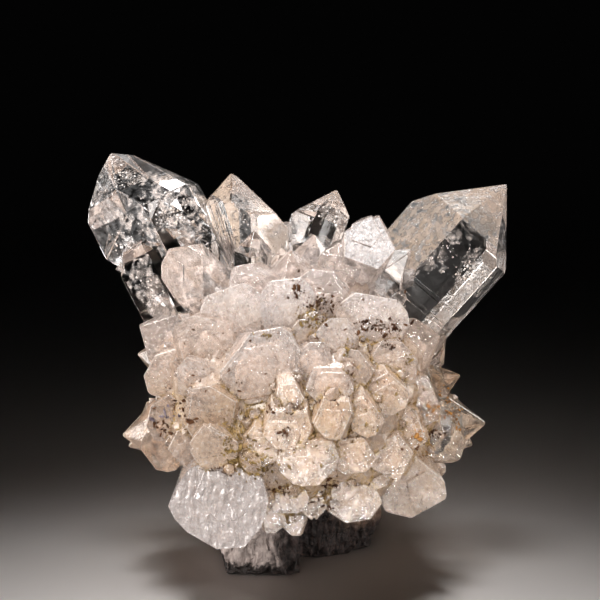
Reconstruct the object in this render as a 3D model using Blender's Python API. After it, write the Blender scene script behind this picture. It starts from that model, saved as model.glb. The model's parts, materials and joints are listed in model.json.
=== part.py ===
"""Skeletal quartz cluster: one intergrown spray of crystals on a small dark root.

Frame: metres, +Z up, origin at the centre of the flat spot it rests on,
+X to the right and -Y towards the side that shows best.
"""
import math

import bmesh
import bpy
from mathutils import Matrix, Vector

MM = 0.001
PYRAMID = math.radians(38.21)     # pyramid face normal above the prism face normal
GAP = 0.3                         # mm kept between the root and the crystals
CORE_CENTRE = (0.0, -2.0, 27.0)   # mm, where the crystals grow out of
CORE_SIZE = (16.0, 14.0, 15.0)    # mm, half-sizes of the mass they merge into
REST_Z = 0.0                      # mm, level of the flat resting spot

# In-face proportions of a large pyramid face with unit half-size
FACE_SIDES = (0.618, 0.92, 1.0, 1.0, 1.0, 0.92)
FACE_SETBACKS = (0.0, -0.723, -1.0, -0.97, -1.0, -0.723)
# Growth habits: how far each prism and pyramid face stands out, against the norm
HABITS = {
    "a": ((1, 1, 1, 1, 1, 1), (0, 1.3, 1, 0.85, 1, 1.3)),
    "b": ((0.9, 1, 1, 1, 1, 1), (0, 1.3, 0.85, 1.4, 0.85, 1.3)),
    "c": ((1, 1.1, 1, 1, 1, 0.8), (0, 0.8, 1.1, 1, 0.8, 1.3)),
    "d": ((1, 0.8, 1, 1, 1, 1.1), (0, 1.3, 0.8, 1, 1.1, 0.8)),
    "e": ((1.25, 0.8, 1, 1, 1, 0.85), (0, 1.2, 0.9, 0.9, 1.0, 1.1)),
}

# Pointed crystals: name, tip (mm), bearing, tilt, roll (deg), length (mm),
# half-widths of the six prism faces (mm, one value if equal), set-backs of the
# six pyramid faces behind the tip (mm), distance to lower pyramid faces (mm)
POINTED = [
    ("left_wing", (-27.2, 2, 59.6), 116.7, -6.2, -36.6, 24, (5, 7.7, 9, 6.5, 6.5, 7.6), (-0.4, -0.3, -1.2, 0, 0.1, -1.4), {4: 10.3}),
    ("left_wing_under", (-23.6, 0, 52.6), 116.7, -6.2, -36.6, 30, (4.6, 6, 5.5, 5.5, 5.5, 6.6), 0, {4: 17.5}),
    ("right_wing", (29.5, 0, 55.1), 49.6, 1.9, 4.4, 33, (6.7, 7.8, 6.8, 5.8, 8.4, 6.1), (-0.6, -0.3, 0, 0, -0.2, -0.3), {}),
    ("right_wing_front", (19, -5, 51.3), 49.6, 1.9, 4.4, 24, 5, (-0.4, 0, 0, 0, 0, 0), {}),
    ("left_needle", (-12.6, -2, 54.1), 107, 0, 0, 16, 1.1, 0, {}),
    ("rear_left_point", (-10.3, 8, 56.6), 94, -20, 30, 26, (5.8, 7.9, 5, 5, 4, 4.6), (0, -0.3, 0, -0.4, -0.2, 0), {}),
    ("rear_right_point", (5.7, 10, 54.1), 70, -20, 25, 24, (4.2, 3.2, 4, 4, 5.2, 4.4), 0, {}),
    ("top_left_knob", (-6.4, -5, 49.2), 86, 15, 20, 16, 2.4, 0, {}),
    ("crown_point", (-1.3, -12, 47.3), 92, 25, 10, 20, 4.2, 0, {}),
    ("crown_knob", (2, -5, 48.7), 84, 8, 0, 16, 2.6, 0, {}),
    ("crown_small", (-2.7, -1, 46.4), 95, 0, 10, 16, 2.6, 0, {}),
    ("left_shoulder", (-24.7, 4, 29.6), 174, -10, 10, 20, 6, 0, {}),
    ("left_tip", (-25.3, -8, 20.4), 184, 8, 20, 22, 4.4, 0, {}),
    ("left_tip_lower", (-24.9, -5, 17.8), 205, 4, 10, 20, 4, 0, {}),
    ("right_small", (21.2, -2, 33.8), 45, 0, 0, 16, 2.6, 0, {}),
    ("right_upper_tip", (23.2, -4, 28.2), 19, 6, 15, 18, 3.2, 0, {}),
    ("right_tip", (26.6, -7, 21.9), 3, 8, 25, 22, 4.2, 0, {}),
    ("right_tip_lower", (24.8, -7, 18.5), -25, 6, 0, 20, 4.4, 0, {}),
    ("rear_01", (-14, 16, 45), 128, -37, 0, 20, 4, 0, {}),
    ("rear_02", (2, 19, 46), 84, -46, 17, 20, 4.4, 0, {}),
    ("rear_03", (15, 16, 43), 47, -38, 34, 20, 4.2, 0, {}),
    ("rear_04", (-20, 12, 31), 169, -33, 51, 20, 4.2, 0, {}),
    ("rear_05", (-8, 21, 34), 139, -64, 8, 20, 5, 0, {}),
    ("rear_06", (8, 22, 33), 37, -67, 25, 20, 5, 0, {}),
    ("rear_07", (20, 13, 31), 11, -34, 42, 20, 4.2, 0, {}),
    ("rear_08", (-15, 17, 18), -149, -46, 59, 20, 4.2, 0, {}),
    ("rear_09", (0, 22, 20), -90, -73, 16, 20, 5, 0, {}),
    ("rear_10", (15, 18, 18), -31, -47, 33, 20, 4.6, 0, {}),
    ("rear_11", (-22, 4, 22), -167, -12, 50, 20, 3.8, 0, {}),
    ("rear_12", (22, 4, 20), -18, -12, 7, 20, 3.8, 0, {}),
    ("rear_13", (-9, 15, 9), -117, -38, 24, 20, 4, 0, {}),
    ("rear_14", (9, 15, 9), -63, -38, 41, 20, 4, 0, {}),
    ("rear_15", (-17, 7, 12), -139, -19, 58, 20, 4, 0, {}),
    ("rear_16", (17, 7, 11), -43, -19, 15, 20, 4, 0, {}),
]

# Crystals that show one large pyramid face: name, centre of that face (mm),
# bearing, tilt, roll (deg), face half-size (mm), length (mm), habit
FACED = [
    ("flash_face", (9.3, -11, 48), 70, 42, 0, 3.3, 12, "b"),
    ("left_front", (-15, -14, 44), 128, 36, -38, 4, 15, ((0.75, 0.6, 1, 1, 1, 1), (0, 1, 1, 1, 1, 1))),
    ("centre_large", (-4.8, -21, 33.5), 97, 44, 4, 5, 12, ((0.98, 0.9, 1, 1, 1, 1.03), (0, 1, 1.08, 0.9, 0.74, 1))),
    ("face_o1", (-1.3, -23, 25.5), -89, 48, -5, 3, 11, ((0.72, 1, 1, 1, 1, 0.92), (0, 1, 0.75, 0.74, 1, 0.83))),
    ("face_o4", (1, -23.5, 21.1), -86, 48, -4, 3.5, 11, ((0.83, 1.1, 1, 1, 1, 1.14), (0, 1, 0.75, 0.77, 0.81, 1))),
    ("lower_left_plate", (-10.2, -25, 16), -88, 48, -6, 6, 12, ((0.88, 0.86, 0.9, 0.8, 0.9, 0.95), (0, 1, 0.7, 0.93, 1, 0.9))),
    ("face_o0", (-1.1, -22, 29.4), -80, 44, 0, 1.7, 8, "c"),
    ("face_o2", (4, -23, 26.8), -95, 50, 0, 2.5, 10, "d"),
    ("face_o3", (8.4, -22, 26.5), -70, 50, 0, 2.2, 10, "e"),
    ("face_o5", (6.8, -22.5, 21.7), -80, 50, 0, 2.4, 10, "a"),
    ("face_o6", (11.8, -20.5, 21), -70, 50, 0, 2.7, 12, "b"),
    ("face_o7", (-4.8, -23.2, 22.9), -110, 50, 0, 2.5, 10, "c"),
    ("left_band", (-11.2, -22.5, 27.7), 100, 44, 0, 3.5, 12, "d"),
    ("face_m2", (-17.3, -16, 24.9), 165, 36, 0, 3.3, 12, "e"),
    ("face_m3", (-18.6, -14, 20.1), 215, 36, 0, 3, 12, "a"),
    ("face_m4", (-10.7, -24.6, 23.4), 100, 44, 0, 2.8, 10, "b"),
    ("face_m5", (-14.8, -20.5, 22.5), 110, 44, 0, 2.4, 12, "c"),
    ("lower_right_block", (15.1, -16, 15.1), -60, 44, 0, 4.2, 12, ((1, 1, 1, 1, 1, 0.9), (0, 1.2, 0.9, 0.8, 1.1, 1.1))),
    ("face_r2", (18.9, -11, 16.3), -40, 44, 0, 1.4, 12, "e"),
    ("face_s1", (-1.6, -21.5, 16.1), -90, 50, 0, 2.5, 12, "a"),
    ("face_s2", (1.3, -20, 14.7), -85, 50, 0, 1.9, 12, "b"),
    ("face_s3", (-3.4, -20, 12.4), -95, 50, 0, 1.8, 12, "c"),
    ("face_s4", (-0.9, -19, 11.6), -90, 50, 0, 1.7, 12, "d"),
    ("face_s5", (6.8, -20, 15.6), -80, 50, 0, 3.7, 12, "e"),
    ("face_s7", (9.4, -19.5, 18.4), -70, 50, 0, 2.4, 12, "a"),
    ("face_w1", (3.8, -21.5, 30.6), -90, 52, 0, 2.8, 10, "b"),
    ("face_w2", (1.5, -20.5, 33.8), 90, 44, 0, 2.6, 12, "c"),
    ("face_w3", (6.7, -20, 32.3), 80, 44, 0, 3, 12, "d"),
    ("face_w4", (12, -18, 32.4), 40, 44, 0, 3.6, 12, "e"),
    ("face_w5", (11, -20, 28.9), -60, 50, 0, 2.7, 12, "a"),
    ("face_w6", (15.2, -17, 27.9), -20, 44, 0, 3.2, 12, "b"),
    ("face_w7", (18.6, -13.5, 21.8), -15, 44, 0, 4, 12, "c"),
    ("face_w8", (13.7, -19, 24.1), -50, 50, 0, 2.8, 12, "d"),
    ("face_w9", (4.9, -19, 36.3), 90, 44, 0, 2.8, 12, "e"),
    ("face_w10", (1.6, -18, 36.8), 95, 44, 0, 2.6, 12, "a"),
    ("right_milky", (9.5, -15.5, 38), 80, 42, 0, 4.5, 12, ((1, 1, 1, 1, 1, 1), (0, 1.2, 1, 0.8, 1, 1.2))),
    ("face_u2", (15, -13.5, 34.5), 50, 44, 0, 3.4, 12, "c"),
    ("face_x1", (-12.1, -18, 35.5), 120, 44, 0, 4.3, 12, "d"),
    ("face_x2", (-17.1, -14.5, 30.6), 150, 44, 0, 3.7, 12, "e"),
    ("face_x3", (-8.9, -17, 39.6), 110, 44, 0, 3.8, 12, "a"),
    ("face_x4", (-18.4, -11, 34.7), 150, 44, 0, 3.4, 12, "b"),
    ("face_x5", (-13.5, -19, 31), 140, 44, 0, 2.9, 12, "c"),
    ("face_g3", (-5.9, -14.5, 42.2), 100, 44, 0, 3.6, 12, "d"),
    ("face_g4", (2.9, -15, 41.6), 85, 44, 0, 3.6, 12, "e"),
    ("face_g5", (-1.6, -17, 41.2), 95, 44, 0, 3.3, 12, "a"),
    ("face_g6", (5.7, -10, 45.3), 80, 44, 0, 2.9, 12, "b"),
]
# Root: three lumps of dark rock, as centre (mm), half-sizes (mm) and broken
# facets (azimuth deg, elevation deg, distance from the centre mm)
ROOT_LUMPS = [
    ((-6.6, -2.4, 4.6), (6.6, 8.2, 6.4),
     [(-95, -8, 7.3), (-140, 10, 7.6), (-170, -14, 6.0), (-60, 12, 7.4),
      (150, 16, 6.8), (95, 10, 7.0), (-120, 50, 8.2)]),
    ((1.2, 2.2, 5.4), (6.4, 6.6, 7.2),
     [(-100, -12, 5.9), (-70, -6, 6.0), (-110, 30, 7.2), (80, 14, 6.0),
      (130, 8, 6.6)]),
    ((7.6, 4.6, 5.6), (4.9, 6.4, 6.4),
     [(-72, -20, 6.2), (-35, -16, 5.6), (0, -24, 5.2), (35, -10, 6.0),
      (90, 12, 5.8), (-50, 35, 7.0)]),
]


def frame_axes(bearing, tilt, roll):
    """Long axis of a crystal and the normals its faces are counted from.

    The bearing turns in the XZ plane from +X to +Z, the tilt leans to -Y.
    """
    b, t, r = math.radians(bearing), math.radians(tilt), math.radians(roll)
    long = Vector((math.cos(b) * math.cos(t), -math.sin(t), math.sin(b) * math.cos(t)))
    ref = Vector((0, -1, 0)) if abs(long.y) < 0.8 else Vector((0, 0, 1))
    first = (ref - long * ref.dot(long)).normalized()
    side = long.cross(first)
    turned = first * math.cos(r) + side * math.sin(r)
    return long, turned, long.cross(turned)


def cut(bm, point, normal):
    """Cut a closed body by a plane and close it again."""
    bmesh.ops.bisect_plane(bm, geom=bm.verts[:] + bm.edges[:] + bm.faces[:], dist=1e-7,
                           plane_co=point, plane_no=normal, clear_outer=True)
    bmesh.ops.holes_fill(bm, edges=[e for e in bm.edges if e.is_boundary], sides=0)


def crystal_body(tip, bearing, tilt, roll, length, sides, setbacks, lower, grow=0.0):
    """Hexagonal prism cut to six pyramid faces, in mm."""
    long, first, side = frame_axes(bearing, tilt, roll)
    tip = Vector(tip)
    reach = 2.2 * max(sides) + 4.0
    stock = max(sides) + 1.5 + grow
    turn = Matrix((first, side, long)).transposed().to_4x4()
    place = Matrix.Translation(tip + long * (reach - length - grow) / 2) @ turn
    bm = bmesh.new()
    bmesh.ops.create_cone(bm, cap_ends=True, segments=6, radius1=stock / math.cos(math.pi / 6),
                          radius2=stock / math.cos(math.pi / 6), depth=reach + length + grow,
                          matrix=place @ Matrix.Rotation(math.radians(30), 4, "Z"))
    for i in range(6):
        out = first * math.cos(math.radians(60 * i)) + side * math.sin(math.radians(60 * i))
        cut(bm, tip + out * (sides[i] + grow), out)
        up = out * math.cos(PYRAMID) + long * math.sin(PYRAMID)
        cut(bm, tip - up * (setbacks[i] - grow), up)
        if i in lower:
            down = out * math.cos(PYRAMID) - long * math.sin(PYRAMID)
            cut(bm, tip + down * (lower[i] + grow), down)
    return bm


def six(value):
    return tuple(value) if isinstance(value, (tuple, list)) else (value,) * 6


def all_crystals(grow=0.0):
    """Every crystal of the spray as (name, bmesh in mm)."""
    made = []
    for name, tip, bearing, tilt, roll, length, sides, setbacks, lower in POINTED:
        made.append((name, crystal_body(tip, bearing, tilt, roll, length, six(sides),
                                        six(setbacks), lower, grow)))
    for name, centre, bearing, tilt, roll, size, length, habit in FACED:
        side_k, back_k = HABITS[habit] if isinstance(habit, str) else habit
        sides = [size * a * b for a, b in zip(FACE_SIDES, side_k)]
        backs = [size * a * b for a, b in zip(FACE_SETBACKS, back_k)]
        made.append((name, crystal_body(centre, bearing, tilt, roll, length, sides, backs, {}, grow)))
    return made


def core_body():
    """The mass that the crystals merge into."""
    bm = bmesh.new()
    bmesh.ops.create_icosphere(bm, subdivisions=2, radius=1.0,
                               matrix=Matrix.Translation(CORE_CENTRE) @ Matrix.Diagonal((*CORE_SIZE, 1.0)))
    return bm


def lump_body(centre, half, facets):
    """A broken block of rock."""
    bm = bmesh.new()
    size = Matrix.Diagonal((half[0] * 2, half[1] * 2, half[2] * 2, 1.0))
    bmesh.ops.create_cube(bm, size=1.0, matrix=Matrix.Translation(centre) @ size)
    for azimuth, elevation, distance in facets:
        a, e = math.radians(azimuth), math.radians(elevation)
        out = Vector((math.cos(a) * math.cos(e), math.sin(a) * math.cos(e), math.sin(e)))
        cut(bm, Vector(centre) + out * distance, out)
    return bm


def to_mesh(bm, name):
    """Keep a body as a mesh of triangles."""
    bmesh.ops.recalc_face_normals(bm, faces=bm.faces)
    bmesh.ops.triangulate(bm, faces=bm.faces)
    mesh = bpy.data.meshes.new(name)
    bm.to_mesh(mesh)
    bm.free()
    return mesh


def is_closed(mesh):
    bm = bmesh.new()
    bm.from_mesh(mesh)
    closed = all(len(edge.link_faces) == 2 for edge in bm.edges)
    bm.free()
    return closed


def boolean(mesh_a, mesh_b, operation):
    """Join two closed bodies, or take the second from the first.

    Where facets nearly coincide the first way can leave a sliver open, and
    only that step is then done the second way.
    """
    obj_a = bpy.data.objects.new("work_a", mesh_a)
    obj_b = bpy.data.objects.new("work_b", mesh_b)
    for obj in (obj_a, obj_b):
        bpy.context.scene.collection.objects.link(obj)
    mod = obj_a.modifiers.new("Boolean", "BOOLEAN")
    mod.operation = operation
    mod.object = obj_b
    for solver in ("EXACT", "MANIFOLD"):
        mod.solver = solver
        graph = bpy.context.evaluated_depsgraph_get()
        graph.update()
        result = bpy.data.meshes.new_from_object(obj_a.evaluated_get(graph))
        bm = bmesh.new()
        bm.from_mesh(result)
        bmesh.ops.triangulate(bm, faces=bm.faces)
        bm.to_mesh(result)
        bm.free()
        if is_closed(result):
            break
    bpy.data.objects.remove(obj_a)
    bpy.data.objects.remove(obj_b)
    bpy.data.meshes.remove(mesh_a)
    bpy.data.meshes.remove(mesh_b)
    return result


def join_all(meshes):
    """Join many meshes two by two."""
    while len(meshes) > 1:
        paired = [boolean(meshes[i], meshes[i + 1], "UNION") for i in range(0, len(meshes) - 1, 2)]
        if len(meshes) % 2:
            paired.append(meshes[-1])
        meshes = paired
    return meshes[0]


def island_volume(faces):
    total = 0.0
    for face in faces:
        a = face.verts[0].co
        for i in range(1, len(face.verts) - 1):
            total += a.dot(face.verts[i].co.cross(face.verts[i + 1].co)) / 6
    return total


def keep_outer(mesh):
    """Keep the one outer skin, in metres: pockets inside fill up and chips go."""
    bm = bmesh.new()
    bm.from_mesh(mesh)
    bmesh.ops.remove_doubles(bm, verts=bm.verts, dist=2e-4)
    bmesh.ops.dissolve_degenerate(bm, edges=bm.edges, dist=2e-4)
    left, islands = set(bm.faces), []
    while left:
        group, todo = [], [left.pop()]
        while todo:
            face = todo.pop()
            group.append(face)
            for edge in face.edges:
                for other in edge.link_faces:
                    if other in left:
                        left.discard(other)
                        todo.append(other)
        islands.append(group)
    best = max(islands, key=island_volume)
    keep = set(best)
    bmesh.ops.delete(bm, geom=[f for f in bm.faces if f not in keep], context="FACES")
    bmesh.ops.triangulate(bm, faces=bm.faces)
    bmesh.ops.scale(bm, vec=(MM, MM, MM), verts=bm.verts)
    bm.to_mesh(mesh)
    bm.free()
    return mesh


def material(name, colour, roughness, transmission=0.0, ior=1.5, metallic=0.0):
    mat = bpy.data.materials.new(name)
    mat.use_nodes = True
    shader = mat.node_tree.nodes["Principled BSDF"]
    shader.inputs["Base Color"].default_value = colour
    shader.inputs["Roughness"].default_value = roughness
    shader.inputs["Metallic"].default_value = metallic
    shader.inputs["Transmission Weight"].default_value = transmission
    shader.inputs["IOR"].default_value = ior
    mat.diffuse_color = colour
    return mat


def overlaps(box_a, box_b):
    return all(box_a[0][k] < box_b[1][k] and box_b[0][k] < box_a[1][k] for k in range(3))


def box_of(bm):
    return ([min(v.co[k] for v in bm.verts) for k in range(3)],
            [max(v.co[k] for v in bm.verts) for k in range(3)])


def main():
    for obj in list(bpy.data.objects):
        bpy.data.objects.remove(obj, do_unlink=True)
    parts = bpy.data.collections.new("skeletal_quartz_cluster")
    bpy.context.scene.collection.children.link(parts)

    # The crystals and the mass they grow from are one solid
    bodies = [to_mesh(core_body(), "core")]
    bodies += [to_mesh(bm, name) for name, bm in all_crystals()]
    cluster_mesh = keep_outer(join_all(bodies))
    cluster_mesh.name = "quartz_cluster"
    cluster = bpy.data.objects.new("quartz_cluster", cluster_mesh)
    parts.objects.link(cluster)
    cluster_mesh.materials.clear()
    cluster_mesh.materials.append(material("quartz", (0.93, 0.88, 0.85, 1.0), 0.08, 0.9, 1.544))

    # The root follows the undersides of the crystals and is flat below
    root = join_all([to_mesh(lump_body(*lump), "lump") for lump in ROOT_LUMPS])
    root_box = ([min(v.co[k] for v in root.vertices) for k in range(3)],
                [max(v.co[k] for v in root.vertices) for k in range(3)])
    grown = all_crystals(GAP)
    core = core_body()
    bmesh.ops.scale(core, vec=[1 + GAP / 11.0] * 3, verts=core.verts,
                    space=Matrix.Translation([-v for v in CORE_CENTRE]))
    grown.append(("core", core))
    for name, bm in grown:
        if overlaps(box_of(bm), root_box):
            root = boolean(root, to_mesh(bm, name), "DIFFERENCE")
        else:
            bm.free()
    bm = bmesh.new()
    bm.from_mesh(root)
    cut(bm, Vector((0, 0, REST_Z)), Vector((0, 0, -1)))
    bm.to_mesh(root)
    bm.free()
    root = keep_outer(root)
    root.name = "matrix_base"
    base = bpy.data.objects.new("matrix_base", root)
    parts.objects.link(base)
    root.materials.clear()
    root.materials.append(material("matrix", (0.05, 0.04, 0.045, 1.0), 0.6))


main()
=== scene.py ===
"""Finished look of the skeletal quartz cluster.

Everything is in the frame of the solid model: metres, +Z up, the origin on the
flat underside of the root, -Y towards the side that shows best. The crystals
are worked out in millimetres and scaled once, when their mesh is stored.
"""

import json
import math
import random

import bmesh
import bpy
import numpy as np
from mathutils import Matrix, Vector, noise
from mathutils.bvhtree import BVHTree
from mathutils.kdtree import KDTree

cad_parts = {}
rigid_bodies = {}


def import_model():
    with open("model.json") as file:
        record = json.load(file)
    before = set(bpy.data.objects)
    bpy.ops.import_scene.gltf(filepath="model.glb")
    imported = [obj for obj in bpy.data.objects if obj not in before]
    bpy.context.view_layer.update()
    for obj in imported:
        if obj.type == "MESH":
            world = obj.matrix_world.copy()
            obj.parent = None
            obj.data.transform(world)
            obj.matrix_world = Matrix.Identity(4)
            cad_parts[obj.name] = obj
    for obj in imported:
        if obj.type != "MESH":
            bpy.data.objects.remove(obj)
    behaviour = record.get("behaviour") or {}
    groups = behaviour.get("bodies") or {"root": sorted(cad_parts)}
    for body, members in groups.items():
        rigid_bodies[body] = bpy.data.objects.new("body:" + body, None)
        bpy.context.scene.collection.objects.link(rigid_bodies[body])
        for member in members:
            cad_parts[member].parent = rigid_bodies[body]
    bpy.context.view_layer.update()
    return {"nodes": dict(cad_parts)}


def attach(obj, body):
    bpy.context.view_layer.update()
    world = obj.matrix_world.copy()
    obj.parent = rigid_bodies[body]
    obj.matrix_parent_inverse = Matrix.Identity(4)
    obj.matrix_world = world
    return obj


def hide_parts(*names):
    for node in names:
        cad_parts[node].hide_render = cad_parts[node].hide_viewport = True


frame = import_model()

MM = 0.001
PYRAMID = math.radians(38.21)     # pyramid face normal above the prism face normal
CORE_CENTRE = (0.0, -2.0, 27.0)   # mm, where the crystals grow out of
CORE_SIZE = (16.0, 14.0, 15.0)    # mm, half-sizes of the mass they merge into

FACE_SIDES = (0.618, 0.92, 1.0, 1.0, 1.0, 0.92)
FACE_SETBACKS = (0.0, -0.723, -1.0, -0.97, -1.0, -0.723)
HABITS = {
    "a": ((1, 1, 1, 1, 1, 1), (0, 1.3, 1, 0.85, 1, 1.3)),
    "b": ((0.9, 1, 1, 1, 1, 1), (0, 1.3, 0.85, 1.4, 0.85, 1.3)),
    "c": ((1, 1.1, 1, 1, 1, 0.8), (0, 0.8, 1.1, 1, 0.8, 1.3)),
    "d": ((1, 0.8, 1, 1, 1, 1.1), (0, 1.3, 0.8, 1, 1.1, 0.8)),
    "e": ((1.25, 0.8, 1, 1, 1, 0.85), (0, 1.2, 0.9, 0.9, 1.0, 1.1)),
}

# Pointed crystals: name, tip (mm), bearing, tilt, roll (deg), length (mm),
# half-widths of the six prism faces (mm, one value if equal), set-backs of the
# six pyramid faces behind the tip (mm), distance to lower pyramid faces (mm)
POINTED = [
    ("left_wing", (-27.2, 2, 59.6), 116.7, -6.2, -36.6, 24, (5, 7.7, 9, 6.5, 6.5, 7.6), (-0.4, -0.3, -1.2, 0, 0.1, -1.4), {4: 10.3}),
    ("left_wing_under", (-23.6, 0, 52.6), 116.7, -6.2, -36.6, 30, (4.6, 6, 5.5, 5.5, 5.5, 6.6), 0, {4: 17.5}),
    ("right_wing", (29.5, 0, 55.1), 49.6, 1.9, 4.4, 33, (6.7, 7.8, 6.8, 5.8, 8.4, 6.1), (-0.6, -0.3, 0, 0, -0.2, -0.3), {}),
    ("right_wing_front", (15.6, -5.0, 46.6), 46, 10, 8, 20, 3.6, (-0.3, 0, 0, 0, 0, 0), {}),
    ("left_needle", (-12.6, -2, 54.1), 107, 0, 0, 16, 1.1, 0, {}),
    ("rear_left_point", (-10.3, 8, 56.6), 94, -20, 30, 26, (5.8, 7.9, 5, 5, 4, 4.6), (0, -0.3, 0, -0.4, -0.2, 0), {}),
    ("rear_right_point", (5.7, 10, 54.1), 70, -20, 25, 24, (4.2, 3.2, 4, 4, 5.2, 4.4), 0, {}),
    ("top_left_knob", (-6.4, -5, 49.2), 86, 15, 20, 16, 2.4, 0, {}),
    ("crown_point", (-1.3, -12, 47.3), 92, 25, 10, 20, 4.2, 0, {}),
    ("crown_knob", (2, -5, 48.7), 84, 8, 0, 16, 2.6, 0, {}),
    ("crown_small", (-2.7, -1, 46.4), 95, 0, 10, 16, 2.6, 0, {}),
    ("left_shoulder", (-24.7, 4, 29.6), 174, -10, 10, 20, 6, 0, {}),
    ("left_tip", (-25.3, -8, 20.4), 184, 8, 20, 22, 4.4, 0, {}),
    ("left_tip_lower", (-24.9, -5, 17.8), 205, 4, 10, 20, 4, 0, {}),
    ("right_small", (21.2, -2, 33.8), 45, 0, 0, 16, 2.6, 0, {}),
    ("right_upper_tip", (23.2, -4, 28.2), 19, 6, 15, 18, 3.2, 0, {}),
    ("right_tip", (26.6, -7, 21.9), 3, 8, 25, 22, 4.2, 0, {}),
    ("right_tip_lower", (24.8, -7, 18.5), -25, 6, 0, 20, 4.4, 0, {}),
    ("rear_01", (-14, 16, 45), 128, -37, 0, 20, 4, 0, {}),
    ("rear_02", (2, 19, 46), 84, -46, 17, 20, 4.4, 0, {}),
    ("rear_03", (15, 16, 43), 47, -38, 34, 20, 4.2, 0, {}),
    ("rear_04", (-20, 12, 31), 169, -33, 51, 20, 4.2, 0, {}),
    ("rear_05", (-8, 21, 34), 139, -64, 8, 20, 5, 0, {}),
    ("rear_06", (8, 22, 33), 37, -67, 25, 20, 5, 0, {}),
    ("rear_07", (20, 13, 31), 11, -34, 42, 20, 4.2, 0, {}),
    ("rear_08", (-15, 17, 18), -149, -46, 59, 20, 4.2, 0, {}),
    ("rear_09", (0, 22, 20), -90, -73, 16, 20, 5, 0, {}),
    ("rear_10", (15, 18, 18), -31, -47, 33, 20, 4.6, 0, {}),
    ("rear_11", (-22, 4, 22), -167, -12, 50, 20, 3.8, 0, {}),
    ("rear_12", (22, 4, 20), -18, -12, 7, 20, 3.8, 0, {}),
    ("rear_13", (-9, 15, 9), -117, -38, 24, 20, 4, 0, {}),
    ("rear_14", (9, 15, 9), -63, -38, 41, 20, 4, 0, {}),
    ("rear_15", (-17, 7, 12), -139, -19, 58, 20, 4, 0, {}),
    ("rear_16", (17, 7, 11), -43, -19, 15, 20, 4, 0, {}),
]

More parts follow.
